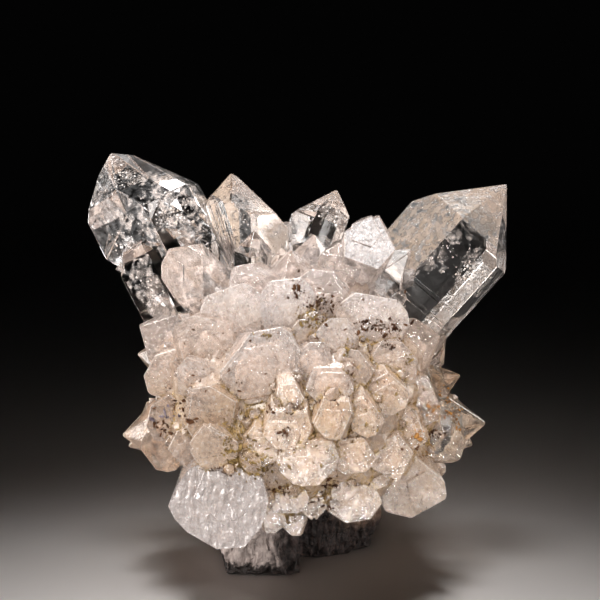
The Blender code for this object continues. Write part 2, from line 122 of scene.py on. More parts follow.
# Crystals that show one large pyramid face: name, centre of that face (mm),
# bearing, tilt, roll (deg), face half-size (mm), length (mm), habit
FACED = [
    ("flash_face", (9.3, -11, 48), 70, 42, 0, 3.3, 12, "b"),
    ("left_front", (-15, -14, 44), 128, 36, -38, 4, 15, ((0.75, 0.6, 1, 1, 1, 1), (0, 1, 1, 1, 1, 1))),
    ("centre_large", (-4.8, -21, 33.5), 97, 44, 4, 5, 12, ((0.98, 0.9, 1, 1, 1, 1.03), (0, 1, 1.08, 0.9, 0.74, 1))),
    ("face_o1", (-1.3, -23, 25.5), -89, 48, -5, 3, 11, ((0.72, 1, 1, 1, 1, 0.92), (0, 1, 0.75, 0.74, 1, 0.83))),
    ("face_o4", (1, -23.5, 21.1), -86, 48, -4, 3.5, 11, ((0.83, 1.1, 1, 1, 1, 1.14), (0, 1, 0.75, 0.77, 0.81, 1))),
    ("lower_left_plate", (-10.2, -25, 16), -88, 48, -6, 6, 12, ((1.25, 1.15, 1.2, 1.1, 1.2, 1.25), (0, 1.35, 1.0, 1.2, 1.3, 1.3))),
    ("face_o0", (-1.1, -22, 29.4), -80, 44, 0, 1.7, 8, "c"),
    ("face_o2", (4, -23, 26.8), -95, 50, 0, 2.5, 10, "d"),
    ("face_o3", (8.4, -22, 26.5), -70, 50, 0, 2.2, 10, "e"),
    ("face_o5", (6.8, -22.5, 21.7), -80, 50, 0, 2.4, 10, "a"),
    ("face_o6", (11.8, -20.5, 21), -70, 50, 0, 2.7, 12, "b"),
    ("face_o7", (-4.8, -23.2, 22.9), -110, 50, 0, 2.5, 10, "c"),
    ("left_band", (-11.2, -22.5, 27.7), 100, 44, 0, 3.5, 12, "d"),
    ("face_m2", (-17.3, -16, 24.9), 165, 36, 0, 3.3, 12, "e"),
    ("face_m3", (-18.6, -14, 20.1), 215, 36, 0, 3, 12, "a"),
    ("face_m4", (-10.7, -24.6, 23.4), 100, 44, 0, 2.8, 10, "b"),
    ("face_m5", (-14.8, -20.5, 22.5), 110, 44, 0, 2.4, 12, "c"),
    ("lower_right_block", (15.1, -16, 15.1), -60, 44, 0, 4.2, 12, ((1, 1, 1, 1, 1, 0.9), (0, 1.2, 0.9, 0.8, 1.1, 1.1))),
    ("face_r2", (18.9, -11, 16.3), -40, 44, 0, 1.4, 12, "e"),
    ("face_s1", (-1.6, -21.5, 16.1), -90, 50, 0, 2.5, 12, "a"),
    ("face_s2", (1.3, -20, 14.7), -85, 50, 0, 1.9, 12, "b"),
    ("face_s3", (-3.4, -20, 12.4), -95, 50, 0, 1.8, 12, "c"),
    ("face_s4", (-0.9, -19, 11.6), -90, 50, 0, 1.7, 12, "d"),
    ("face_s5", (6.8, -20, 15.6), -80, 50, 0, 3.7, 12, "e"),
    ("face_s7", (9.4, -19.5, 18.4), -70, 50, 0, 2.4, 12, "a"),
    ("face_w1", (3.8, -21.5, 30.6), -90, 52, 0, 2.8, 10, "b"),
    ("face_w2", (1.5, -20.5, 33.8), 90, 44, 0, 2.6, 12, "c"),
    ("face_w3", (6.7, -20, 32.3), 80, 44, 0, 3, 12, "d"),
    ("face_w4", (12, -18, 32.4), 40, 44, 0, 3.6, 12, "e"),
    ("face_w5", (11, -20, 28.9), -60, 50, 0, 2.7, 12, "a"),
    ("face_w6", (15.2, -17, 27.9), -20, 44, 0, 3.2, 12, "b"),
    ("face_w7", (18.6, -13.5, 21.8), -15, 44, 0, 4, 12, "c"),
    ("face_w8", (13.7, -19, 24.1), -50, 50, 0, 2.8, 12, "d"),
    ("face_w9", (4.9, -19, 36.3), 90, 44, 0, 2.8, 12, "e"),
    ("face_w10", (1.6, -18, 36.8), 95, 44, 0, 2.6, 12, "a"),
    ("right_milky", (9.5, -15.5, 38), 80, 42, 0, 4.5, 12, ((1, 1, 1, 1, 1, 1), (0, 1.2, 1, 0.8, 1, 1.2))),
    ("face_u2", (15, -13.5, 34.5), 50, 44, 0, 3.4, 12, "c"),
    ("face_x1", (-12.1, -18, 35.5), 120, 44, 0, 4.3, 12, "d"),
    ("face_x2", (-17.1, -14.5, 30.6), 150, 44, 0, 3.7, 12, "e"),
    ("face_x3", (-8.9, -17, 39.6), 110, 44, 0, 3.8, 12, "a"),
    ("face_x4", (-18.4, -11, 34.7), 150, 44, 0, 3.4, 12, "b"),
    ("face_x5", (-13.5, -19, 31), 140, 44, 0, 2.9, 12, "c"),
    ("face_g3", (-5.9, -14.5, 42.2), 100, 44, 0, 3.6, 12, "d"),
    ("face_g4", (2.9, -15, 41.6), 85, 44, 0, 3.6, 12, "e"),
    ("face_g5", (-1.6, -17, 41.2), 95, 44, 0, 3.3, 12, "a"),
    ("face_g6", (5.7, -10, 45.3), 80, 44, 0, 2.9, 12, "b"),
]

# How clear each crystal is, 1 for water-clear and 0 for milk, where it differs
# from the rest of its group
CLEAR = {
    "left_wing": 0.99, "left_wing_under": 0.97, "right_wing": 0.98, "right_wing_front": 0.9,
    "left_needle": 0.9, "rear_left_point": 0.96, "rear_right_point": 0.98,
    "top_left_knob": 0.93, "crown_point": 0.62, "crown_knob": 0.82, "crown_small": 0.92,
    "left_shoulder": 0.72, "left_tip": 0.6, "left_tip_lower": 0.55, "right_small": 0.93,
    "right_upper_tip": 0.92, "right_tip": 0.94, "right_tip_lower": 0.86,
    "flash_face": 0.75, "left_front": 0.82, "centre_large": 0.42, "lower_left_plate": 0.3,
    "right_milky": 0.42, "lower_right_block": 0.3, "face_g3": 0.62, "face_g4": 0.64,
    "face_g6": 0.72, "face_x1": 0.5, "face_w7": 0.78, "face_u2": 0.74, "face_m2": 0.55,
    "face_m3": 0.6, "face_w6": 0.6, "face_x4": 0.6,
}
CLEAR_REAR, CLEAR_FACED = 0.8, 0.38

# Kinds of face: 0-5 prism, 6-11 pyramid, 12-17 lower pyramid
WORN, WALL, FLOOR, CAP, CORE = 20, 21, 22, 30, 31
KINDS = 40


def frame_axes(bearing, tilt, roll):
    """Long axis of a crystal and the normals its faces are counted from."""
    b, t, r = math.radians(bearing), math.radians(tilt), math.radians(roll)
    long = Vector((math.cos(b) * math.cos(t), -math.sin(t), math.sin(b) * math.cos(t)))
    ref = Vector((0, -1, 0)) if abs(long.y) < 0.8 else Vector((0, 0, 1))
    first = (ref - long * ref.dot(long)).normalized()
    side = long.cross(first)
    turned = first * math.cos(r) + side * math.sin(r)
    return long, turned, long.cross(turned)


def six(value):
    return list(value) if isinstance(value, (tuple, list)) else [value] * 6


def convex_body(planes):
    """Body bounded by planes (outward normal, distance from origin, kind)."""
    normals = np.array([p[0] for p in planes], float)
    dist = np.array([p[1] for p in planes], float)
    n = len(planes)
    i, j, k = [np.array(v) for v in zip(*((i, j, k) for i in range(n) for j in range(i + 1, n)
                                          for k in range(j + 1, n)))]
    sets = normals[np.stack((i, j, k), axis=1)]
    ok = np.abs(np.linalg.det(sets)) > 1e-4
    i, j, k, sets = i[ok], j[ok], k[ok], sets[ok]
    points = np.linalg.solve(sets, dist[np.stack((i, j, k), axis=1)][..., None])[..., 0]
    ok = (points @ normals.T <= dist + 2e-3).all(axis=1)
    corners, members = [], []
    for point, trio in zip(points[ok], zip(i[ok], j[ok], k[ok])):
        for c, corner in enumerate(corners):
            if abs(corner - point).max() < 0.02:
                members[c].update(trio)
                break
        else:
            corners.append(point)
            members.append(set(trio))
    bm = bmesh.new()
    lay = bm.faces.layers.int.new("kind")
    verts = [bm.verts.new(c) for c in corners]
    for p in range(n):
        ring = [c for c in range(len(corners)) if p in members[c]]
        if len(ring) < 3:
            continue
        normal = Vector(normals[p])
        u = normal.orthogonal().normalized()
        v = normal.cross(u)
        middle = Vector(np.mean([corners[c] for c in ring], axis=0))
        ring.sort(key=lambda c: math.atan2((Vector(corners[c]) - middle).dot(v), (Vector(corners[c]) - middle).dot(u)))
        face = bm.faces.new([verts[c] for c in ring])
        face[lay] = planes[p][2]
    return bm


def crystal(tip, axes, length, sides, setbacks, lower=None, bevel=0.0, hoppers=(), steps=None, cuts=()):
    """Hexagonal crystal as a bmesh in mm, each face marked with its kind.

    bevel is the width of the worn edges, hoppers the sunk frames of a face as
    (kind, [(rim, depth), ...]), steps the growth steps down the prism.
    """
    long, first, side = axes
    tip = Vector(tip)
    planes = [(-long, length, CAP)] + list(cuts)
    for i in range(6):
        out = first * math.cos(math.radians(60 * i)) + side * math.sin(math.radians(60 * i))
        planes.append((out, sides[i], i))
        planes.append((out * math.cos(PYRAMID) + long * math.sin(PYRAMID), -setbacks[i], 6 + i))
        if lower and i in lower:
            planes.append((out * math.cos(PYRAMID) - long * math.sin(PYRAMID), lower[i], 12 + i))
    bm = convex_body(planes)
    bmesh.ops.translate(bm, vec=tip, verts=bm.verts)
    lay = bm.faces.layers.int["kind"]
    for kind, rims in hoppers:
        for face in [f for f in bm.faces if f[lay] == kind]:
            span = math.sqrt(face.calc_area())
            for rim, depth in rims:
                if span < 4 * rim:
                    break
                ring = bmesh.ops.inset_individual(bm, faces=[face], thickness=rim, depth=0.0,
                                                  use_even_offset=True)["faces"]
                for f in ring:
                    f[lay] = kind
                ring = bmesh.ops.inset_individual(bm, faces=[face], thickness=depth * 0.45, depth=-depth,
                                                  use_even_offset=True)["faces"]
                for f in ring:
                    f[lay] = WALL
                span -= 2 * rim
            face[lay] = kind
    if bevel:
        sharp = [e for e in bm.edges if len(e.link_faces) == 2 and e.calc_face_angle_signed() > math.radians(12)
                 and all(f[lay] < WORN for f in e.link_faces)]
        made = bmesh.ops.bevel(bm, geom=sharp, offset=bevel, offset_type="OFFSET", segments=1,
                               profile=0.5, affect="EDGES", clamp_overlap=True)
        for face in made["faces"]:
            face[lay] = WORN
    if steps:
        for s in steps[0]:
            bmesh.ops.bisect_plane(bm, geom=bm.verts[:] + bm.edges[:] + bm.faces[:], dist=1e-6,
                                   plane_co=tip - long * s, plane_no=long)
        for v in bm.verts:
            rel = v.co - tip
            along = -rel.dot(long)
            v.co = tip - long * along + (rel + long * along) * float(np.interp(along, steps[0], steps[1]))
    return bm


def closed(bm):
    return all(len(e.link_faces) == 2 for e in bm.edges) and bm.calc_volume(signed=True) != 0.0


def sound_crystal(**kw):
    """A closed crystal: what a small face can't carry is left off it."""
    bm = crystal(**kw)
    for left_off in ("hoppers", "bevel", "steps"):
        if closed(bm):
            break
        bm.free()
        kw.pop(left_off, None)
        bm = crystal(**kw)
    return bm


def to_mesh(bm, name, cid):
    """Store a body as triangles, each marked with its crystal and kind."""
    bmesh.ops.recalc_face_normals(bm, faces=bm.faces)
    bmesh.ops.triangulate(bm, faces=bm.faces)
    lay = bm.faces.layers.int["kind"]
    for face in bm.faces:
        face[lay] = cid * KINDS + face[lay]
    mesh = bpy.data.meshes.new(name)
    bm.to_mesh(mesh)
    bm.free()
    return mesh


def united(first, rest):
    """Join closed bodies into one."""
    group = bpy.data.collections.new("joined")
    bpy.context.scene.collection.children.link(group)
    for mesh in rest:
        group.objects.link(bpy.data.objects.new("joined", mesh))
    base = bpy.data.objects.new("base", first)
    bpy.context.scene.collection.objects.link(base)
    mod = base.modifiers.new("Boolean", "BOOLEAN")
    mod.operation, mod.operand_type, mod.solver, mod.collection = "UNION", "COLLECTION", "MANIFOLD", group
    graph = bpy.context.evaluated_depsgraph_get()
    graph.update()
    result = bpy.data.meshes.new_from_object(base.evaluated_get(graph))
    for obj in list(group.objects) + [base]:
        mesh = obj.data
        bpy.data.objects.remove(obj)
        bpy.data.meshes.remove(mesh)
    bpy.data.collections.remove(group)
    return result


def largest_island(bm):
    """Drop loose chips and closed pockets."""
    left, best = set(bm.faces), []
    while left:
        group, todo = [], [left.pop()]
        while todo:
            face = todo.pop()
            group.append(face)
            for edge in face.edges:
                for other in edge.link_faces:
                    if other in left:
                        left.discard(other)
                        todo.append(other)
        if len(group) > len(best):
            best = group
    keep = set(best)
    bmesh.ops.delete(bm, geom=[f for f in bm.faces if f not in keep], context="FACES")


# ---------------------------------------------------------------- crystals

rng = random.Random(7)
crystals = []      # name, tip, axes, length, sides, setbacks, lower, clear, group


def add(name, tip, axes, length, sides, setbacks, lower, clear, group):
    crystals.append(dict(name=name, tip=Vector(tip), axes=axes, length=length, sides=sides,
                         setbacks=setbacks, lower=lower, clear=clear, group=group))


# Broken or crowded corners: the outline, seen from the front, that a crystal
# keeps to, as points (x, z) in mm that turn clockwise
OUTLINES = {
    "lower_left_plate": [(-16.6, 16.3), (-15.7, 18.5), (-14.1, 20.7), (-12.1, 21.7), (-7.9, 21.6), (-6.0, 20.9),
                         (-4.8, 19.4), (-4.0, 16.6), (-4.9, 13.4), (-7.0, 11.0), (-10.5, 10.8), (-14.2, 13.0),
                         (-15.8, 14.7)],
}


def trims(name, tip):
    """Planes through the sides of a crystal's outline, as distances from its tip."""
    ring = OUTLINES.get(name, ())
    planes = []
    for k, (x, z) in enumerate(ring):
        nx, nz = ring[(k + 1) % len(ring)]
        out = Vector((-(nz - z), 0, nx - x)).normalized()
        planes.append((out, out.dot(Vector((x, 0, z)) - Vector((tip[0], 0, tip[2]))), WALL))
    return planes


for name, tip, bearing, tilt, roll, length, sides, setbacks, lower in POINTED:
    add(name, tip, frame_axes(bearing, tilt, roll), length, six(sides), six(setbacks), lower,
        CLEAR.get(name, CLEAR_REAR), "pointed")
for name, centre, bearing, tilt, roll, size, length, habit in FACED:
    side_k, back_k = HABITS[habit] if isinstance(habit, str) else habit
    add(name, centre, frame_axes(bearing, tilt, roll), length,
        [size * a * b for a, b in zip(FACE_SIDES, side_k)],
        [size * a * b for a, b in zip(FACE_SETBACKS, back_k)], {}, CLEAR.get(name, CLEAR_FACED), "faced")

HOPPERS = {
    "centre_large": [(6, [(0.55, 0.12)])],
    "face_o1": [(6, [(0.5, 0.14)])],
    "rear_05": [(6, [(0.5, 0.2), (0.5, 0.2)]), (8, [(0.5, 0.2), (0.5, 0.15)]), (10, [(0.6, 0.2)])],
    "rear_06": [(7, [(0.5, 0.2), (0.4, 0.2)]), (9, [(0.5, 0.2)]), (11, [(0.5, 0.2), (0.6, 0.2)])],
    "rear_09": [(6, [(0.5, 0.2), (0.5, 0.2)]), (8, [(0.5, 0.2)]), (10, [(0.5, 0.2), (0.5, 0.2)])],
    "rear_02": [(6, [(0.5, 0.18)]), (10, [(0.5, 0.18)])],
    "rear_10": [(8, [(0.5, 0.18)]), (6, [(0.5, 0.15)])],
}

bodies, parents = [], []      # meshes, and the crystal each came from


def grow(parent, **kw):
    bodies.append(to_mesh(sound_crystal(**kw), "body", parent))
    parents.append(parent)


for cid, c in enumerate(crystals):
    size = max(c["sides"])
    bevel = min(0.17 if c["clear"] > 0.9 else 0.12, 0.03 * size) * rng.uniform(0.8, 1.2)
    steps = None
    if c["group"] == "pointed" and size > 3.5:
        start = 2.0 * size
        marks, values, g = [0.0], [1.0], 1.0
        s = start
        while s < c["length"]:
            marks += [s, s + 0.14]
            values.append(g)
            g = 1.0 + rng.uniform(-0.012, 0.010)
            values.append(g)
            s += rng.uniform(0.5, 3.0)
        marks.append(c["length"] + 10)
        values.append(g)
        steps = (marks, values)
    grow(cid, tip=c["tip"], axes=c["axes"], length=c["length"], sides=c["sides"], setbacks=c["setbacks"],
         lower=c["lower"], bevel=bevel, hoppers=HOPPERS.get(c["name"], ()), steps=steps,
         cuts=trims(c["name"], c["tip"]))

# Parallel growth: thin plates of the same crystal that stand a little proud
for cid, c in enumerate(list(crystals)):
    long, first, side = c["axes"]
    size = max(c["sides"])
    if c["group"] == "faced":
        for _ in range(rng.choice((0, 1, 1, 2))):
            k = rng.uniform(0.45, 0.85)
            up = first * math.cos(PYRAMID) + long * math.sin(PYRAMID)
            across = up.cross(long).normalized()
            down = up.cross(across)
            shift = across * rng.uniform(-0.45, 0.45) * size + down * rng.uniform(-0.45, 0.45) * size
            grow(cid, tip=c["tip"] + shift + up * rng.uniform(0.05, 0.16), axes=c["axes"],
                 length=c["length"] * 0.6, sides=[a * k for a in c["sides"]],
                 setbacks=[a * k for a in c["setbacks"]], bevel=0.04,
                 cuts=[(n, v - 0.3, w) for n, v, w in trims(c["name"], c["tip"] + shift)])
    else:
        for _ in range(0 if c["clear"] > 0.9 else 4 if size > 5 else 2):
            i = rng.randrange(6)
            sides = [a * rng.uniform(0.4, 0.75) for a in c["sides"]]
            sides[i] = c["sides"][i] + rng.uniform(0.04, 0.16)
            drop = rng.uniform(0.2, 0.9) * size
            setbacks = list(c["setbacks"])
            tip = c["tip"] - long * drop
            grow(cid, tip=tip, axes=c["axes"], length=max(4.0, c["length"] - drop), sides=sides,
                 setbacks=setbacks, bevel=0.05)

core = bmesh.new()
core.faces.layers.int.new("kind")
bmesh.ops.create_icosphere(core, subdivisions=3, radius=1.0,
                           matrix=Matrix.Translation(CORE_CENTRE) @ Matrix.Diagonal((*CORE_SIZE, 1.0)))
for face in core.faces:
    face[core.faces.layers.int["kind"]] = CORE
for v in core.verts:
    v.co += v.normal * 0.8 * noise.noise(v.co * 0.35)
core_mesh = to_mesh(core, "core", len(crystals))
body_mesh = united(core_mesh, bodies)


def mortar(body, angle=6.5, below=1.35, cap=22.5):
    """The mass between the crystals, which fills the notches to just below their faces.

    Its radius is the outermost reach of the crystals closed over a small angle.
    """
    tree = BVHTree.FromPolygons([v.co for v in body.vertices], [p.vertices for p in body.polygons])
    centre = Vector(CORE_CENTRE)
    bm = bmesh.new()
    layer = bm.faces.layers.int.new("kind")
    bmesh.ops.create_icosphere(bm, subdivisions=6, radius=1.0)
    rays = [v.co.normalized() for v in bm.verts]
    reach = np.zeros(len(rays))
    for i, d in enumerate(rays):
        hit = tree.ray_cast(centre + d * 70, -d)[0]
        reach[i] = (hit - centre).length if hit else 12.0
    near = KDTree(len(rays))
    for i, d in enumerate(rays):
        near.insert(d, i)
    near.balance()
    span = 2 * math.sin(math.radians(angle) / 2)
    around = [[n for _, n, _ in near.find_range(d, span)] for d in rays]
    capped = np.minimum(reach, cap + 3)
    grown = np.array([capped[a].max() for a in around])
    shut = np.array([grown[a].min() for a in around])
    high = np.clip((np.array([d.z for d in rays]) - 0.3) / 0.4, 0, 1)
    radius = np.minimum(shut - below - 3.5 * high, cap)
    for _ in range(2):
        radius = np.array([radius[a[:7]].mean() for a in around])
    for v, d, r in zip(bm.verts, rays, radius):
        p = centre + d * float(r)
        v.co = p + d * (0.5 * noise.noise(p * 0.6) + 0.12 * noise.noise(p * 2.1))
    for face in bm.faces:
        face[layer] = CORE
    return to_mesh(bm, "mortar", len(crystals))


body_mesh = united(body_mesh, [mortar(body_mesh)])


def placed_random(where):
    """Random numbers that depend on a place only, not on the order of a mesh."""
    x, y, z = (int(round(v * 25)) for v in where)
    return random.Random(x * 7368787 + y * 19349 + z)


# Small crystals that fill the joints between the large ones
bm = bmesh.new()
bm.from_mesh(body_mesh)
lay = bm.faces.layers.int["kind"]
bmesh.ops.triangulate(bm, faces=bm.faces)
bm.normal_update()
joints = []
for edge in bm.edges:
    if len(edge.link_faces) == 2 and edge.calc_length() > 0.25:
        a, b = edge.link_faces
        if a[lay] // KINDS != b[lay] // KINDS and edge.calc_face_angle_signed(0.0) < -0.3:
            joints.append((edge.verts[0].co.copy(), edge.verts[1].co.copy(), (a.normal + b.normal).normalized()))
bm.free()
small = []
for a, b, normal in joints:
    middle = (a + b) / 2
    rnd = placed_random(middle)
    if (b.x, b.y, b.z) < (a.x, a.y, a.z):
        a, b = b, a
    chance = (a - b).length * (0.24 if middle.z < 40 else 0.08)
    while chance > 0:
        if rnd.random() < chance:
            p = a.lerp(b, rnd.random())
            radial = (p - Vector(CORE_CENTRE)).normalized()
            d = (normal * rnd.uniform(0.5, 1.1) + radial * rnd.uniform(0.4, 1.0)
                 + Vector([rnd.gauss(0, 0.28) for _ in range(3)])).normalized()
            small.append((p, d))
        chance -= 1
small.sort(key=lambda item: tuple(round(v, 2) for v in item[0]))
small_ids = len(crystals) + 1
pieces = []
for p, d in small:
    rng = placed_random(p)
    r = rng.uniform(0.35, 0.8) if rng.random() < 0.75 else rng.uniform(0.8, 1.3)
    ref = d.orthogonal().normalized()
    turn = rng.uniform(0, 6.28)
    first = (ref * math.cos(turn) + d.cross(ref) * math.sin(turn)).normalized()
    axes = (d, first, d.cross(first))
    sides = [r * rng.uniform(0.75, 1.1) for _ in range(6)]
    backs = [r * rng.uniform(-0.5, 0.2) for _ in range(6)]
    pieces.append(to_mesh(sound_crystal(tip=p + d * r * rng.uniform(0.9, 1.7), axes=axes, length=4.0,
                                        sides=sides, setbacks=backs, bevel=0.04), "small",
                          small_ids + rng.randrange(40)))
body_mesh = united(body_mesh, pieces)

bm = bmesh.new()
bm.from_mesh(body_mesh)
bpy.data.meshes.remove(body_mesh)
largest_island(bm)
bmesh.ops.triangulate(bm, faces=bm.faces)
lay = bm.faces.layers.int["kind"]


def joint_points(bm, spacing=0.25):
    """Points along the inward joints, where one crystal meets another."""
    points = []
    bm.normal_update()
    for edge in bm.edges:
        if len(edge.link_faces) == 2:
            f, g = edge.link_faces
            if f[lay] // KINDS != g[lay] // KINDS and edge.calc_face_angle_signed(0.0) < -0.2:
                a, b = edge.verts[0].co, edge.verts[1].co
                steps = max(1, int((a - b).length / spacing))
                points += [a.lerp(b, i / steps) for i in range(steps + 1)]
    return points


def tree_of(points):
    tree = KDTree(len(points))
    for i, p in enumerate(points):
        tree.insert(p, i)
    tree.balance()
    return tree


seams = tree_of(joint_points(bm))
for far, near in ((2.4, 1.2), (1.6, 0.8)):
    long_edges = []
    for edge in bm.edges:
        length = edge.calc_length()
        if length > near and (length > far or seams.find((edge.verts[0].co + edge.verts[1].co) / 2)[2] < 0.5):
            long_edges.append(edge)
    bmesh.ops.subdivide_edges(bm, edges=long_edges, cuts=1)
    bmesh.ops.triangulate(bm, faces=[f for f in bm.faces if len(f.verts) > 3])

# The lower left plate is etched into fine upright ridges, the flash face into chips
etched = {[c["name"] for c in crystals].index(name): how for name, how in
          (("lower_left_plate", "ridges"), ("flash_face", "chips"), ("centre_large", "faint"))}
for limit in (0.9, 0.5, 0.32):
    marked = {e for f in bm.faces if f[lay] // KINDS in etched and f[lay] % KINDS == 6
              and (etched[f[lay] // KINDS] != "faint" or limit > 0.6) for e in f.edges if e.calc_length() > limit}
    bmesh.ops.subdivide_edges(bm, edges=list(marked), cuts=1)
    bmesh.ops.triangulate(bm, faces=[f for f in bm.faces if len(f.verts) > 3])
for v in bm.verts:
    owners = {(f[lay] // KINDS, f[lay] % KINDS) for f in v.link_faces}
    if len(owners) == 1:
        (owner, which), = owners
        if owner in etched and which == 6:
            p = v.co
            out = v.link_faces[0].normal
            if etched[owner] == "ridges":
                wave = p.x + 0.35 * noise.noise(Vector((0, 3, p.z * 0.45)))
                h = (0.26 * noise.noise(Vector((wave * 1.5, 0, p.z * 0.22)))
                     + 0.16 * noise.noise(Vector((wave * 3.2, 5, p.z * 0.6))) + 0.10 * noise.noise(p * 0.9))
            elif etched[owner] == "chips":
                h = 0.14 * (noise.cell(p * 1.9) - 0.5) + 0.05 * noise.noise(p * 3.0)
            else:
                h = 0.05 * noise.noise(p * 0.8)
            v.co = p + out * h
bm.normal_update()
bm.verts.ensure_lookup_table()
co = np.array([v.co for v in bm.verts])
tri = np.array([[v.index for v in f.verts] for f in bm.faces])
fid = np.array([f[lay] for f in bm.faces])
seam_gap = np.array([seams.find(v.co)[2] for v in bm.verts])
bmesh.ops.scale(bm, vec=(MM, MM, MM), verts=bm.verts)
mesh = bpy.data.meshes.new("quartz_crystals")
bm.to_mesh(mesh)
bm.free()
mesh.materials.clear()


def smooth(low, high, x):
    t = np.clip((x - low) / (high - low), 0, 1)
    return t * t * (3 - 2 * t)


def store(mesh, name, values, domain="POINT"):
    values = np.asarray(values, np.float32)
    if values.ndim == 1:
        mesh.attributes.new(name, "FLOAT", domain).data.foreach_set("value", values)
    else:
        mesh.attributes.new(name, "FLOAT_VECTOR", domain).data.foreach_set("vector", values.ravel())


def spread(values, rounds=2):
    """Average a face value out to the corners and smooth it."""
    weight = np.zeros(len(co))
    out = np.zeros(len(co))
    for c in range(3):
        np.add.at(out, tri[:, c], values)
        np.add.at(weight, tri[:, c], 1)
    out /= np.maximum(weight, 1)
    for _ in range(rounds):
        face = out[tri].mean(axis=1)
        out[:] = 0
        for c in range(3):
            np.add.at(out, tri[:, c], face)
        out /= np.maximum(weight, 1)
    return out


cid, kind = fid // KINDS, fid % KINDS
count = len(crystals)
named = {c["name"]: i for i, c in enumerate(crystals)}
clear = np.full(small_ids + 41, 0.42)
clear[:count] = [c["clear"] for c in crystals]
clear[count] = 0.35
clear[small_ids:] = 0.45
tone = np.random.default_rng(3).random(small_ids + 41)
axis = np.zeros((small_ids + 41, 3))
axis[:, 2] = 1
axis[:count] = [tuple(c["axes"][0]) for c in crystals]
cid = np.minimum(cid, small_ids + 40)
depth = np.linalg.norm(co - np.array(CORE_CENTRE), axis=1)
milk = spread(1 - clear[cid], 1)
milk = np.where(milk > 0.25, np.maximum(milk, 0.62 * smooth(25, 15, depth)), milk)
# How warm the colour is: cool at the top and on the lower left plate, warm low down. The warm lower part is partly the
# quartz's own tint and partly painted warm light bounced up from below.
mid = co[tri].mean(axis=1)
warmth = 0.75 * smooth(46, 24, co[:, 2]) + 0.25 * smooth(-2, 16, co[:, 0]) * smooth(42, 24, co[:, 2])
# Brown and golden clay lies in the joints of a few places: centre, reach, strength
STAINS = [((-8, -22, 24), (5.5, 7, 8.5), 1.0), ((16, -14, 24), (7.5, 7, 6), 1.0), ((3, -18, 39), (5, 7, 4), 0.9),
          ((21, -10, 21), (5, 7, 4), 0.9), ((11, -18, 32), (7, 6, 5), 0.8), ((-16, -18, 26), (5, 6, 5), 0.8),
          ((0, -20, 15), (8, 7, 6), 0.9), ((9, -16, 36), (7, 6, 3), 0.7), ((7, 14, 20), (9, 9, 8), 0.6),
          ((2, -21, 27), (8, 7, 6), 0.85), ((-12, 12, 30), (8, 8, 8), 0.4), ((10, -18, 19), (6, 7, 5), 0.8)]
stain = np.zeros(len(co))
for centre, reach, strength in STAINS:
    d = np.linalg.norm((co - np.array(centre)) / np.array(reach), axis=1)
    stain = np.maximum(stain, strength * smooth(1.3, 0.4, d))
frost = np.zeros(len(cid))
for name, kinds, value in (("lower_left_plate", (6,), 1.0), ("flash_face", (6,), 0.85), ("lower_right_block", (6,), 0.35)):
    frost[(cid == named[name]) & np.isin(kind, kinds)] = value
# A thin frosted film on some faces of the clear crystals, chosen by the way they face: partly real frosting and partly
# painted sheen where they face the lamps.
normal_of = np.cross(co[tri[:, 1]] - co[tri[:, 0]], co[tri[:, 2]] - co[tri[:, 0]])
normal_of /= np.maximum(np.linalg.norm(normal_of, axis=1, keepdims=True), 1e-9)
film_and_sheen = np.zeros(len(cid))
for name, facing, low, high, value in (
        ("right_wing", (0, 0, 1), 0.25, 0.45, 0.5), ("right_wing", (0.8, -0.6, 0), 0.5, 0.8, 0.22),
        ("left_wing", (0.5, -0.3, 0.8), 0.6, 0.8, 0.16), ("left_wing", (-0.6, -0.7, 0.4), 0.65, 0.85, 0.22), ("rear_left_point", (-0.8, -0.5, 0.2), 0.5, 0.7, 0.75),
        ("rear_left_point", (0.7, -0.2, 0.7), 0.6, 0.8, 0.3), ("right_tip", (0, -0.7, 0.7), 0.4, 0.7, 0.15),
        ("right_wing_front", (0, 0, 1), 0.4, 0.6, 0.3)):
    facing = np.array(facing) / np.linalg.norm(facing)
    film_and_sheen = np.maximum(film_and_sheen, value * (cid == named[name]) * smooth(low, high, normal_of @ facing))
film_and_sheen = np.maximum(film_and_sheen, 0.6 * (cid == named["rear_right_point"]) * smooth(51.5, 53.5, mid[:, 2]))
cool = np.zeros(len(cid))
cool[cid == named["lower_left_plate"]] = 1
flash = np.zeros(len(cid))
flash[(cid == named["flash_face"]) & (kind == 6)] = 1
store(mesh, "milk", milk)
store(mesh, "seam", np.clip(1 - seam_gap / 0.6, 0, 1))
store(mesh, "stain", stain)
store(mesh, "warmth", warmth)
store(mesh, "tone", tone[cid], "FACE")
store(mesh, "worn_edge_sheen", (kind == WORN).astype(float), "FACE")
store(mesh, "prism", (kind < 6).astype(float), "FACE")
store(mesh, "frost", frost, "FACE")
store(mesh, "cool", cool, "FACE")
store(mesh, "flash", flash, "FACE")
store(mesh, "film_and_sheen", film_and_sheen, "FACE")
store(mesh, "mortar", (cid == count).astype(float), "FACE")
store(mesh, "caxis", axis[cid], "FACE")
quartz = bpy.data.objects.new("quartz_crystals", mesh)
bpy.context.scene.collection.objects.link(quartz)
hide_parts("quartz_cluster")
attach(quartz, "root")


def placed(name, source):
    """Add a piece given in mm, as a bmesh, that rides on the root."""
    made = bpy.data.meshes.new(name)
    bmesh.ops.scale(source, vec=(MM, MM, MM), verts=source.verts)
    source.to_mesh(made)
    source.free()
    obj = bpy.data.objects.new(name, made)
    bpy.context.scene.collection.objects.link(obj)
    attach(obj, "root")
    return obj


# ---------------------------------------------------------------- milk inside

